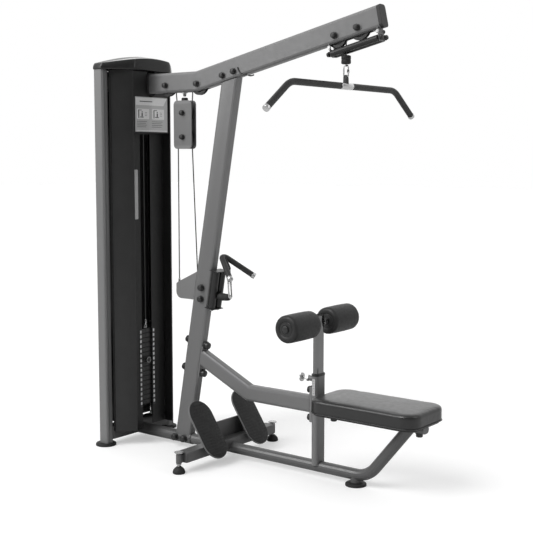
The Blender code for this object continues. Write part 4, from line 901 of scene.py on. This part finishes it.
def lat_bar():
    """The wide bar: black textured grips from the tips past the bends, a bright collar at the middle."""
    node = "lat_bar"
    bottom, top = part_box(node)
    place = joint_place("lat_bar_swivel")
    radius = (top.x - bottom.x) / 2 - 0.0003
    tip = Vector((place.x, 0.575, bottom.z + 0.0115))
    corner = Vector((place.x, 0.412, place.z))
    down = (tip - corner).normalized()
    half = [tip - down * 0.004, *bend(tip, corner, place, 0.110, 12)]
    run = [Vector((point.x, -point.y, point.z)) for point in half]
    run += [Vector((place.x, y, place.z)) for y in (-0.20, 0.0, 0.20)]
    run += list(reversed(half))
    mirrored = Vector((down.x, -down.y, down.z))
    ends = [(tip + down * 0.004, down), (Vector((tip.x, -tip.y, tip.z)) + mirrored * 0.004, mirrored)]
    capped_grip("lat_bar_grip", "lat_bar", run, radius, [node], ends)
    collar = Piece("lat_bar_collar")
    collar.turned(place - Y * 0.045, Y, ((0.0, radius), (0.002, radius + 0.0010), (0.088, radius + 0.0010),
                                         (0.090, radius)), 32)
    collar.done("lat_bar", CHROME, "chrome", 40.0)
    eye = Piece("lat_bar_eye")
    eye_place = place + Z * 0.0385
    shape = flat(place, Y)
    outline = [(-0.0135, 0.006)] + [(0.0125 * math.cos(a), 0.0385 + 0.0115 * math.sin(a)) for a in arc(180,
            0, 12)] + [(0.0135, 0.006)]
    eye.slab(outline[::-1], -0.0034, 0.0034, shape, 0.0008, 2)
    eye.turned(eye_place - Y * 0.0045, Y, ((0.0, 0.0060), (0.0, 0.0088), (0.009, 0.0088), (0.009, 0.0060)),
               24, True)
    eye.done("lat_bar", CAPS, "rubber", 40.0)


# ---------------------------------------------------------------- row end

def row_stop():
    """The rubber nose on the row cable with its snap hook standing up to the handle."""
    node = "row_stop_and_link"
    bottom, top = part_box(node)
    pivot = joint_place("row_handle_rock")
    nose = Piece("row_cable_stop")
    start = Vector((bottom.x, 0.0, 0.7985))
    nose.turned(start, X, ((-0.0001, 0.0), (0.0, 0.0165), (0.0015, 0.0195), (0.004, 0.0205), (0.010, 0.0205),
                           (0.030, 0.0185), (0.058, 0.0165), (0.0655, 0.0140), (0.0690, 0.0095), (0.0695,
                                   0.0)), 36)
    nose.done("row_stop", RUBBER, "rubber", 40.0, [node])
    hook = Piece("row_snap_hook")
    foot = Vector((start.x + 0.0725, 0.0, start.z - 0.0035))
    head = pivot + Z * 0.0015
    oval_ring(hook, head, foot, 0.0100, 0.0036, Y, 12, 12)
    spine = (head - foot).normalized()
    gate = (head + foot) / 2 + Y * 0.0100
    hook.turned(gate - spine * 0.012, spine, ((0.0, 0.0046), (0.0015, 0.0054), (0.022, 0.0054),
                                              (0.024, 0.0044)), 16)
    hook.turned(foot - X * 0.009 + Z * 0.006, X, ((0.0, 0.0062), (0.0012, 0.0070), (0.010, 0.0070),
                                                  (0.0115, 0.0055)), 18)
    hook.done("row_stop", CHROME, "chrome", 40.0)


def row_handle():
    """The V handle: two rubber grips from a round crown, alloy end caps, and a black eye plate."""
    node = "row_handle"
    pivot = joint_place("row_handle_rock")
    radius = 0.0138
    corner = at(0.5886, 0.0, 1.0127)
    far = at(0.731, 0.0945, 0.900)
    near = Vector((far.x, -far.y, far.z))
    crown = bend(near, corner, far, 0.022, 14)
    out_near, out_far = (near - corner).normalized(), (far - corner).normalized()
    line = [near - out_near * 0.012, *crown, far - out_far * 0.012]
    capped_grip("row_handle_grip", "row_handle", line, radius, [node], [(near, out_near), (far, out_far)])
    eye = Piece("row_handle_eye")
    top = crown[len(crown) // 2]
    down = (pivot - top).normalized()
    reach = (pivot - top).length
    shape = flat(top, Y, -down)
    outline = [(-0.0125, -0.004)] + [(0.0115 * math.cos(a), -reach - 0.0115 * math.sin(a)) for a in arc(180,
            0, 12)] + [(0.0125, -0.004)]
    eye.slab(outline[::-1], -0.0036, 0.0036, shape, 0.0008, 2)
    eye.done("row_handle", CAPS, "rubber", 40.0)


def row_bracket_fasteners():
    """The cable's anchor fitting on the gussets."""
    anchor_x = MACHINE_X + 0.3145
    fitting = Piece("row_cable_anchor")
    base = Vector((anchor_x, 0.0, 0.8440))
    fitting.turned(base, Z, ((0.0, 0.0070), (0.010, 0.0070), (0.012, 0.0056), (0.026, 0.0050),
                             (0.028, 0.0035)), 18)
    turn = Matrix.Translation(base)
    fitting.slab(circle(0.0105, 6), 0.0, 0.006, turn, 0.0006, 1)
    fitting.done("frame", ZINC, "zinc_steel", 25.0)


# ---------------------------------------------------------------- bench

def seat_pad():
    """The upholstered pad: a crowned vinyl cover with a welt, on its board."""
    node = "seat_pad"
    bottom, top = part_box(node)
    centre = middle(node)
    long, wide = top.x - bottom.x, top.y - bottom.y
    corner = 0.075
    board = Piece("seat_board")
    board.slab(rounded(long - 0.030, wide - 0.030, corner - 0.012, 10), 0.0, 0.010,
               Matrix.Translation((centre.x, 0.0, bottom.z)), 0.001, 1)
    board.done("frame", LABEL_INK, "seat_vinyl", 30.0)
    inner = 0.0045
    sides = rounded(long - 2 * inner, wide - 2 * inner, corner - inner, 12)
    base, lid = bottom.z + 0.005, top.z - 0.0055
    levels = [(0.012, base), (0.004, base + 0.001), (0.0012, base + 0.006), (0.0, base + 0.014), (0.0,
            lid - 0.016),
              (0.0014, lid - 0.009), (0.005, lid - 0.0042), (0.011, lid - 0.0014), (0.020, lid)]
    rings = [[Vector((centre.x + x, y, height)) for x, y in inset(sides, edge)] for edge, height in levels]
    shoulder = inset(sides, 0.020)
    for share, rise in ((0.86, 0.0012), (0.62, 0.0022), (0.34, 0.0030), (0.08, 0.0033)):
        rings.append([Vector((centre.x + x * share, y * share, lid + rise)) for x, y in shoulder])
    cover = Piece("seat_cover").rings(rings)
    made = cover.done(None, VINYL, "seat_vinyl", 60.0)
    puffed(made, 0.0050, 0.0020)
    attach(made, "frame")
    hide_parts(node)
    welt = Piece("seat_welt")
    path = [Vector((centre.x + x, y, bottom.z + 0.0115)) for x, y in inset(sides, 0.0012)]
    welt.rod(path, 0.0024, 10, True, Z)
    welt.done("frame", PIPING, "seat_vinyl", 60.0)


def puffed(obj, voxel, limit):
    """Swells a padded cover under light cloth pressure, no point further than a limit."""
    remesh = obj.modifiers.new("even", "REMESH")
    remesh.mode = "VOXEL"
    remesh.voxel_size = voxel
    bpy.context.view_layer.update()
    graph = bpy.context.evaluated_depsgraph_get()
    even = bpy.data.meshes.new_from_object(obj.evaluated_get(graph))
    finish = obj.data.materials[0]
    obj.modifiers.clear()
    obj.data = even
    if not even.materials:
        even.materials.append(finish)
    rest = [vertex.co.copy() for vertex in even.vertices]
    cloth = obj.modifiers.new("cloth", "CLOTH")
    cloth.settings.use_pressure = True
    cloth.settings.uniform_pressure_force = 4.0
    cloth.settings.effector_weights.gravity = 0.0
    cloth.settings.tension_stiffness = 18.0
    cloth.settings.compression_stiffness = 18.0
    cloth.settings.bending_stiffness = 2.0
    scene = bpy.context.scene
    for step in range(1, 21):
        scene.frame_set(step)
    graph = bpy.context.evaluated_depsgraph_get()
    swollen = bpy.data.meshes.new_from_object(obj.evaluated_get(graph))
    for vertex, start in zip(swollen.vertices, rest):
        move = vertex.co - start
        if move.length > limit:
            vertex.co = start + move * (limit / move.length)
    obj.modifiers.clear()
    obj.data = swollen
    scene.frame_set(1)
    smooth = obj.modifiers.new("smooth", "SUBSURF")
    smooth.levels = 1
    smooth.render_levels = 1
    swollen.shade_smooth()


def foam_rollers():
    """Foam thigh rollers: crowned skins, dished black end caps with rings, on the chrome axle."""
    for side, word in ((-1, "left"), (1, "right")):
        node = f"foam_roller_{word}"
        place = middle(node)
        half = (high(node).y - low(node).y) / 2
        radius = (high(node).z - low(node).z) / 2
        hub, soft = 0.036, 0.016
        side_points = [(half - 0.0060, 0.0132), (half - 0.0060, hub - 0.004), (half - 0.0030, hub - 0.001),
                       (half - 0.0008, hub + 0.002)]
        for angle in arc(90, 0, 7):
            side_points.append((half - soft + soft * math.sin(angle), radius - soft + soft * math.cos(angle)))
        side_points += [(half * 0.55, radius + 0.0008), (half * 0.2, radius + 0.0012)]
        profile = side_points + [(-height, r) for height, r in reversed(side_points)]
        roll = Piece(f"foam_roller_skin_{word}").turned(place, Y, profile, 56, True)
        made = roll.done(node, FOAM, "foam_rubber", 60.0, [node])
        caps = Piece(f"foam_roller_caps_{word}")
        for direction in (Y, -Y):
            start = place + direction * (half - 0.0062)
            caps.turned(start, direction, ((0.0, 0.0130), (0.0, hub - 0.003), (0.0022, hub - 0.003),
                                           (0.0030, hub - 0.004),
                        (0.0030, 0.026), (0.0042, 0.0252), (0.0042, 0.0215), (0.0030, 0.0208), (0.0030,
                                0.0130)), 40, True)
        caps.done(node, CAPS, "foam_rubber", 30.0)
        outer = Piece(f"thigh_axle_cap_{word}")
        outer.turned(Vector((place.x, side * (high("thigh_post").y - 0.0036), place.z)), Y * side,
                     ((0.0, 0.0165), (0.0020, 0.0165), (0.0034, 0.0150), (0.0042, 0.0110), (0.0045, 0.0)), 32)
        outer.done("thigh_post", CAPS, "shroud_plastic", 50.0)


def thigh_post_details():
    """Rounded head of the chrome post, and the weld collars of the axle."""
    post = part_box("thigh_post")
    place = joint_place("foam_roller_left_spin")
    place = Vector((place.x, 0.0, place.z))
    collars = Piece("thigh_axle_collars")
    for side in (-1, 1):
        collars.turned(place + Y * side * 0.031, Y * side,
                       ((0.0, 0.0190), (0.0030, 0.0190), (0.0046, 0.0165), (0.0255, 0.0160), (0.0265, 0.0150),
                        (0.0265, 0.0124)), 32)
    collars.done("thigh_post", CHROME, "chrome", 40.0)
    cap = Piece("thigh_post_cap")
    cap.slab(stadium(0.0315, 0.0645), -0.001, 0.0050,
             Matrix.Translation((place.x, 0.0, post[1].z - 0.0050)), 0.0020, 3)
    cap.done("thigh_post", CAPS, "shroud_plastic", 40.0)


def seat_post_details():
    """Collar on the seat post's mouth, the pull pin's housing, and the height scale."""
    node = "seat_post"
    top = high(node).z
    centre = joint_place("foam_roller_left_spin").x
    collar = Piece("seat_post_collar")
    turn = Matrix.Translation((centre, 0.0, top))
    outer, inner = stadium(0.0415, 0.0785), stadium(0.0310, 0.0642)
    rings = []
    for outline, height in ((outer, -0.007), (outer, 0.0022), (inset(outer, 0.0015), 0.0038), (inner,
            0.0038), (inner, 0.0004)):
        rings.append([turn @ Vector((x, y, height)) for x, y in outline])
    shell = inset(outer, 0.0013)
    rings.append([turn @ Vector((x, y, 0.0004)) for x, y in shell])
    rings.append([turn @ Vector((x, y, -0.007)) for x, y in shell])
    collar.rings(rings, closed=True)
    collar.done("frame", CAPS, "shroud_plastic", 30.0)
    pin = middle("pull_pin")
    knob = Piece("pull_pin_knob")
    face = low("pull_pin").x
    ridges = 36
    knob_rings = []
    for height, radius, depth in ((0.0, 0.0150, 0.0), (0.0008, 0.0192, 0.0), (0.0018, 0.0205, 0.0007),
                                  (0.0072, 0.0205, 0.0007),
                                  (0.0082, 0.0192, 0.0), (0.0088, 0.0120, 0.0)):
        ring = []
        for i in range(ridges * 2):
            angle = math.tau * i / (ridges * 2)
            reach = radius - (depth if i % 2 else 0.0)
            ring.append(Vector((face + height, reach * math.cos(angle), pin.z + reach * math.sin(angle))))
        knob_rings.append(ring)
    knob.rings(knob_rings)
    knob.done("pull_pin", CAST_CAP, "chrome", 30.0)
    shaft = Piece("pull_pin_shaft")
    length = high("pull_pin").x - face
    shaft.turned(Vector((face + 0.004, 0.0, pin.z)), X, ((0.0, 0.0085), (0.010, 0.0085), (0.012, 0.0049),
                                                         (length - 0.005, 0.0048),
                 (length - 0.004, 0.0034)), 20)
    shaft.done("pull_pin", CHROME, "chrome", 40.0, ["pull_pin"])
    nut = Piece("pull_pin_housing")
    barrel = low(node).x
    nut.slab(circle(0.0158, 6), 0.0, 0.0120,
             Matrix.Translation((barrel - 0.0004, 0.0, pin.z)) @ frame_along(X), 0.0012, 1)
    nut.done("frame", ZINC, "zinc_steel", 25.0)
    scale = Piece("seat_post_scale")
    scale.slab(rounded(0.017, 0.078, 0.003), 0.0, 0.0008, flat((centre, -0.0376, top - 0.057), -Y), 0.0002, 1)
    scale.done("frame", LABEL_MID, "shroud_plastic")
    marks = Piece("seat_post_scale_marks")
    for index in range(6):
        marks.slab(rounded(0.009 if index % 2 else 0.006, 0.0010, 0.0004, 2), 0.0, 0.0003,
                   flat((centre, -0.0384, top - 0.028 - index * 0.0115), -Y))
    marks.done("frame", LABEL_INK, "shroud_plastic")


def bench_fasteners():
    """Capped bolts through the beam's plates, and the bolts under the seat."""
    beam_z = 0.342
    places = []
    plate_x = MACHINE_X + 1.142
    for height in (beam_z + 0.066, beam_z - 0.066):
        places.append((Vector((plate_x + 0.0019, 0.0, height)), -X))
    back = []
    for offset in (0.088, -0.059):
        centre = column_point(0.468, 0.0575, 0.0) + COLUMN_DIRECTION * offset
        back.append((centre, COLUMN_FORWARD))
        behind = column_point(0.468, -BOOM_HALF_DEEP, 0.0) + COLUMN_DIRECTION * offset
        back.append((behind, -COLUMN_FORWARD))
    bolt_caps("bench_plate_caps", "frame", places, 1.15)
    bolt_caps("column_plate_caps", "frame", back, 1.25)
    under = []
    rail_bottom = 0.296
    for x in (1.268, 1.716):
        under.append((at(x, 0.0, rail_bottom + 0.001), -Z))
    bolt_caps("seat_bolt_caps", "frame", under, 1.10)
    end = Piece("seat_rail_bracket")
    turn = Matrix.Translation(at(1.704, 0.0, 0.3283))
    end.slab(rounded(0.084, 0.120, 0.020), -0.0045, 0.0, turn, 0.0010, 2)
    front = Matrix.Translation(at(1.268, 0.0, 0.3283))
    end.slab(rounded(0.080, 0.120, 0.020), -0.0045, 0.0, front, 0.0010, 2)
    end.done("frame", PAINT, "frame_paint", 30.0)


# ---------------------------------------------------------------- floor

def foot_plates():
    """Stadium foot plates: a ribbed rubber tread in a thin steel rim."""
    tilt = math.radians(34.0)
    for side, word in ((-1, "left"), (1, "right")):
        node = f"foot_plate_{word}"
        centre = middle(node)
        out = Vector((math.cos(tilt), 0.0, math.sin(tilt)))
        turn = flat(centre, out)
        long, wide, half = 0.306, 0.154, 0.0054
        rim = Piece(f"foot_plate_rim_{word}")
        rim.slab(stadium(wide, long, 14), -half, half - 0.0030, turn, 0.0015, 2)
        rim.done("frame", PAINT, "dark_paint", 35.0, [node])
        pad = Piece(f"foot_plate_tread_{word}")
        pad.slab(stadium(wide - 0.006, long - 0.006, 14), half - 0.0030, half - 0.0004, turn, 0.0010, 2)
        ribs = 18
        for index in range(ribs):
            height = (index - (ribs - 1) / 2) * 0.0150
            reach = wide / 2 - 0.010
            past = max(0.0, abs(height) - (long - wide) / 2)
            half_rib = math.sqrt(max(0.0, reach ** 2 - past ** 2))
            if half_rib > 0.012:
                pad.slab(rounded(2 * half_rib, 0.0050, 0.0015, 2), half - 0.0006, half + 0.0003,
                         turn @ Matrix.Translation((0.0, height, 0.0)), 0.0003, 1)
        pad.done("frame", TREAD, "rubber", 35.0)


def leveling_feet():
    """Levelling feet: rubber dome, threaded stem, lock nut and bright adjusting disc."""
    for word in ("left", "right"):
        node = f"leveling_foot_{word}"
        place = middle(node)
        base = Vector((place.x, place.y, 0.0))
        dome = Piece(f"leveling_dome_{word}")
        dome.turned(base, Z, ((0.0, 0.0280), (0.0015, 0.0296), (0.006, 0.0300), (0.010, 0.0296),
                              (0.018, 0.0265), (0.026, 0.0200),
                              (0.031, 0.0135), (0.034, 0.0095), (0.0345, 0.0)), 40)
        dome.done("frame", RUBBER, "rubber", 50.0, [node])
        stem = Piece(f"leveling_stem_{word}")
        turns = [(0.030, 0.0060)]
        thread = 0.0020
        height = 0.034
        while height < 0.098:
            turns += [(height, 0.0060), (height + thread / 2, 0.0054)]
            height += thread
        turns.append((0.0985, 0.0060))
        stem.turned(base, Z, turns, 20)
        stem.turned(base, Z, ((0.0975, 0.0195), (0.0985, 0.0215), (0.1030, 0.0215), (0.1040, 0.0200),
                              (0.1045, 0.0)), 36)
        stem.slab(circle(0.0125, 6), 0.0395, 0.0470, Matrix.Translation(base), 0.0010, 1)
        stem.done("frame", ZINC, "zinc_steel", 30.0)


def floor_fasteners():
    """Capped bolts along the rail's sleeve, plates on the cross beam's ends, rubber collars at the posts'
    feet and a stud on the bench foot.
    """
    places = []
    radius = 0.0300
    for x in (0.304, 0.364):
        for side in (-1, 1):
            places.append((at(x, side * (radius - 0.0006), 0.050), Y * side))
    bolt_caps("sleeve_bolt_caps", "frame", places, 1.20)
    beam_low, beam_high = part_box("cross_beam")
    grooves = Piece("cross_beam_end_plates")
    for side in (-1, 1):
        turn = flat((MACHINE_X + 0.634, side * 0.3381, 0.0725), Y * side)
        grooves.slab(rounded(0.066, 0.047, 0.006), 0.0, 0.0040, turn, 0.0010, 2)
    grooves.done("frame", RAIL_PAINT_SHADED, "dark_paint", 30.0)
    collars = Piece("post_foot_collars")
    for word in ("left", "right"):
        foot = middle(f"tower_foot_{word}")
        collars.turned(Vector((foot.x, foot.y, high(f"tower_foot_{word}").z)), Z,
                       ((-0.0004, 0.0430), (0.0010, 0.0430), (0.0016, 0.0420), (0.0016, 0.0)), 40)
    collars.done("frame", RUBBER, "rubber", 40.0)
    stud = Piece("bench_foot_stud")
    foot = middle("bench_foot")
    top = high("bench_foot").z
    stud.turned(Vector((foot.x, foot.y, top - 0.0004)), Z, ((0.0, 0.0330), (0.0020, 0.0330),
                                                            (0.0034, 0.0315), (0.0040, 0.0260)), 40)
    stud.done("frame", RUBBER, "rubber", 40.0)


# ---------------------------------------------------------------- cables that stretch

def blended_cable(name, node, points):
    """A stretch of cable that runs from the frame to a moving fitting."""
    line = []
    for first, second in zip(points, points[1:]):
        count = max(1, int((Vector(second) - Vector(first)).length / 0.012))
        line += [Vector(first).lerp(Vector(second), step / count) for step in range(count)]
    line.append(Vector(points[-1]))
    piece = Piece(name)
    piece.rod(line, 0.0030, 12, up=Y)
    made = piece.done(None, CABLE, "coated_cable", 60.0)
    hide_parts(node)
    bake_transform(made)
    return made


def turn_points(centre, radius, start, end, steps=16):
    return [Vector((centre.x + radius * math.cos(a), 0.0,
                    centre.z + radius * math.sin(a))) for a in arc(start, end, steps)]


def cables():
    radius = middle("lat_cable_at_bar").x - joint_place("front_pulley_back_spin").x
    stack_low, stack_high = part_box("lat_cable_at_stack")
    x = middle("lat_cable_at_stack").x
    blended_cable("cable_to_stack", "lat_cable_at_stack", [(x, 0, stack_high.z), (x, 0, stack_low.z - 0.002)])
    bar_low, bar_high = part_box("lat_cable_at_bar")
    x = middle("lat_cable_at_bar").x
    blended_cable("cable_to_bar", "lat_cable_at_bar", [(x, 0, bar_high.z), (x, 0, bar_low.z - 0.002)])
    upper, lower = joint_place("block_pulley_upper_spin"), joint_place("block_pulley_lower_spin")
    back, front = joint_place("rear_pulley_back_spin"), joint_place("rear_pulley_front_spin")
    top = high("lat_cable_at_block").z
    loop = [Vector((back.x + radius, 0, top)), *turn_points(upper, radius, 180, 360),
            Vector((front.x - radius, 0, top))]
    blended_cable("cable_over_block", "lat_cable_at_block", loop)
    row = joint_place("row_pulley_spin")
    loop = [Vector((lower.x - radius, 0, 0.868)), *turn_points(lower, radius, 180, 0),
            Vector((row.x - radius, 0, row.z))]
    blended_cable("cable_under_block", "row_cable_at_block", loop)
    stop = low("row_stop_and_link").x
    line = turn_points(row, radius, 180, 274)
    piece = [*line, Vector((stop + 0.004, 0, 0.7985))]
    blended_cable("cable_to_handle", "row_cable_at_row_pulley", piece)


def all_pieces():
    top_cap()
    placard()
    weight_labels()
    weight_plates("plates_resting", "frame", "resting_plates", 9)
    weight_plates("plates_carried", "stack_carriage", "carried_plates", 7)
    selector_pin()
    selector_eye()
    pulleys()
    guide_roller_ends()
    boom_fasteners()
    boom_saddle()
    block_fasteners()
    lat_hanger()
    lat_bar()
    row_stop()
    row_handle()
    row_bracket_fasteners()
    seat_pad()
    foam_rollers()
    thigh_post_details()
    seat_post_details()
    bench_fasteners()
    foot_plates()
    leveling_feet()
    floor_fasteners()
    cables()


all_pieces()


# ---------------------------------------------------------------- studio

def studio():
    """A pale floor, even white surroundings and soft lights from the front left."""
    finish = Finish("studio_floor", 0.64, 0.9)
    finish.tone(finish.noise(0.8, 2.0), 0.01)
    seen = finish.tree.nodes.new("ShaderNodeLightPath").outputs["Is Camera Ray"]
    finish.shader.inputs["Emission Color"].default_value = (1.0, 1.0, 1.0, 1.0)
    finish.link(finish.ranged(seen, 0.0, 1.0, 0.0, 0.40), finish.shader.inputs["Emission Strength"])
    mesh = bpy.data.meshes.new("studio_floor")
    reach = 40.0
    mesh.from_pydata([(-reach, -reach, 0), (reach, -reach, 0), (reach, reach, 0), (-reach, reach, 0)], [],
                     [(0, 1, 2, 3)])
    mesh.materials.append(finish.material)
    floor = bpy.data.objects.new("studio_floor", mesh)
    bpy.context.scene.collection.objects.link(floor)
    floor.location.z = -0.0005

    world = bpy.data.worlds.new("studio")
    bpy.context.scene.world = world
    world.use_nodes = True
    tree = world.node_tree
    background = tree.nodes["Background"]
    background.inputs["Color"].default_value = (1.0, 1.0, 1.0, 1.0)
    ray = tree.nodes.new("ShaderNodeLightPath")
    toward = tree.nodes.new("ShaderNodeVectorMath")
    toward.operation = "DOT_PRODUCT"
    toward.inputs[1].default_value = (0.70, -0.71, 0.0)
    tree.links.new(tree.nodes.new("ShaderNodeTexCoord").outputs["Generated"], toward.inputs[0])
    dimmed = tree.nodes.new("ShaderNodeMapRange")
    dimmed.inputs["From Min"].default_value = -1.0
    dimmed.inputs["From Max"].default_value = 0.62
    dimmed.inputs["To Min"].default_value = 1.15
    dimmed.inputs["To Max"].default_value = 0.04
    tree.links.new(toward.outputs["Value"], dimmed.inputs["Value"])
    strength = tree.nodes.new("ShaderNodeMapRange")
    strength.inputs["To Max"].default_value = 1.0
    tree.links.new(dimmed.outputs["Result"], strength.inputs["To Min"])
    tree.links.new(ray.outputs["Is Camera Ray"], strength.inputs["Value"])
    tree.links.new(strength.outputs["Result"], background.inputs["Strength"])

    def sun(name, towards, power, spread):
        light = bpy.data.lights.new(name, "SUN")
        light.energy = power
        light.angle = math.radians(spread)
        lamp = bpy.data.objects.new(name, light)
        lamp.rotation_euler = Vector(towards).to_track_quat("-Z", "Y").to_euler()
        bpy.context.scene.collection.objects.link(lamp)

    sun("key", (0.25, 0.80, -0.85), 1.9, 38.0)
    sun("fill", (-0.75, 0.25, -0.9), 0.25, 60.0)

    def softbox(name, place, target, size, power):
        light = bpy.data.lights.new(name, "AREA")
        light.shape = "RECTANGLE"
        light.size, light.size_y = size
        light.energy = power
        lamp = bpy.data.objects.new(name, light)
        lamp.location = place
        lamp.rotation_euler = (Vector(target) - Vector(place)).to_track_quat("-Z", "Y").to_euler()
        bpy.context.scene.collection.objects.link(lamp)

    softbox("left_box", (-2.6, -3.4, 3.0), (0, 0, 1.0), (1.6, 2.2), 42.0)
    softbox("right_strip", (3.6, 0.6, 2.6), (0, 0, 1.0), (0.8, 2.4), 20.0)


def camera():
    data = bpy.data.cameras.new("view")
    data.lens = 70.7
    data.sensor_width = 36.0
    data.clip_end = 200.0
    shot = bpy.data.objects.new("view", data)
    shot.location = at(3.9157, -3.9090, 1.4900)
    shot.rotation_euler = (math.radians(90.0 - 6.03), 0.0, math.radians(37.87))
    bpy.context.scene.collection.objects.link(shot)
    bpy.context.scene.camera = shot


studio()
camera()
bpy.context.scene.view_settings.view_transform = "Standard"
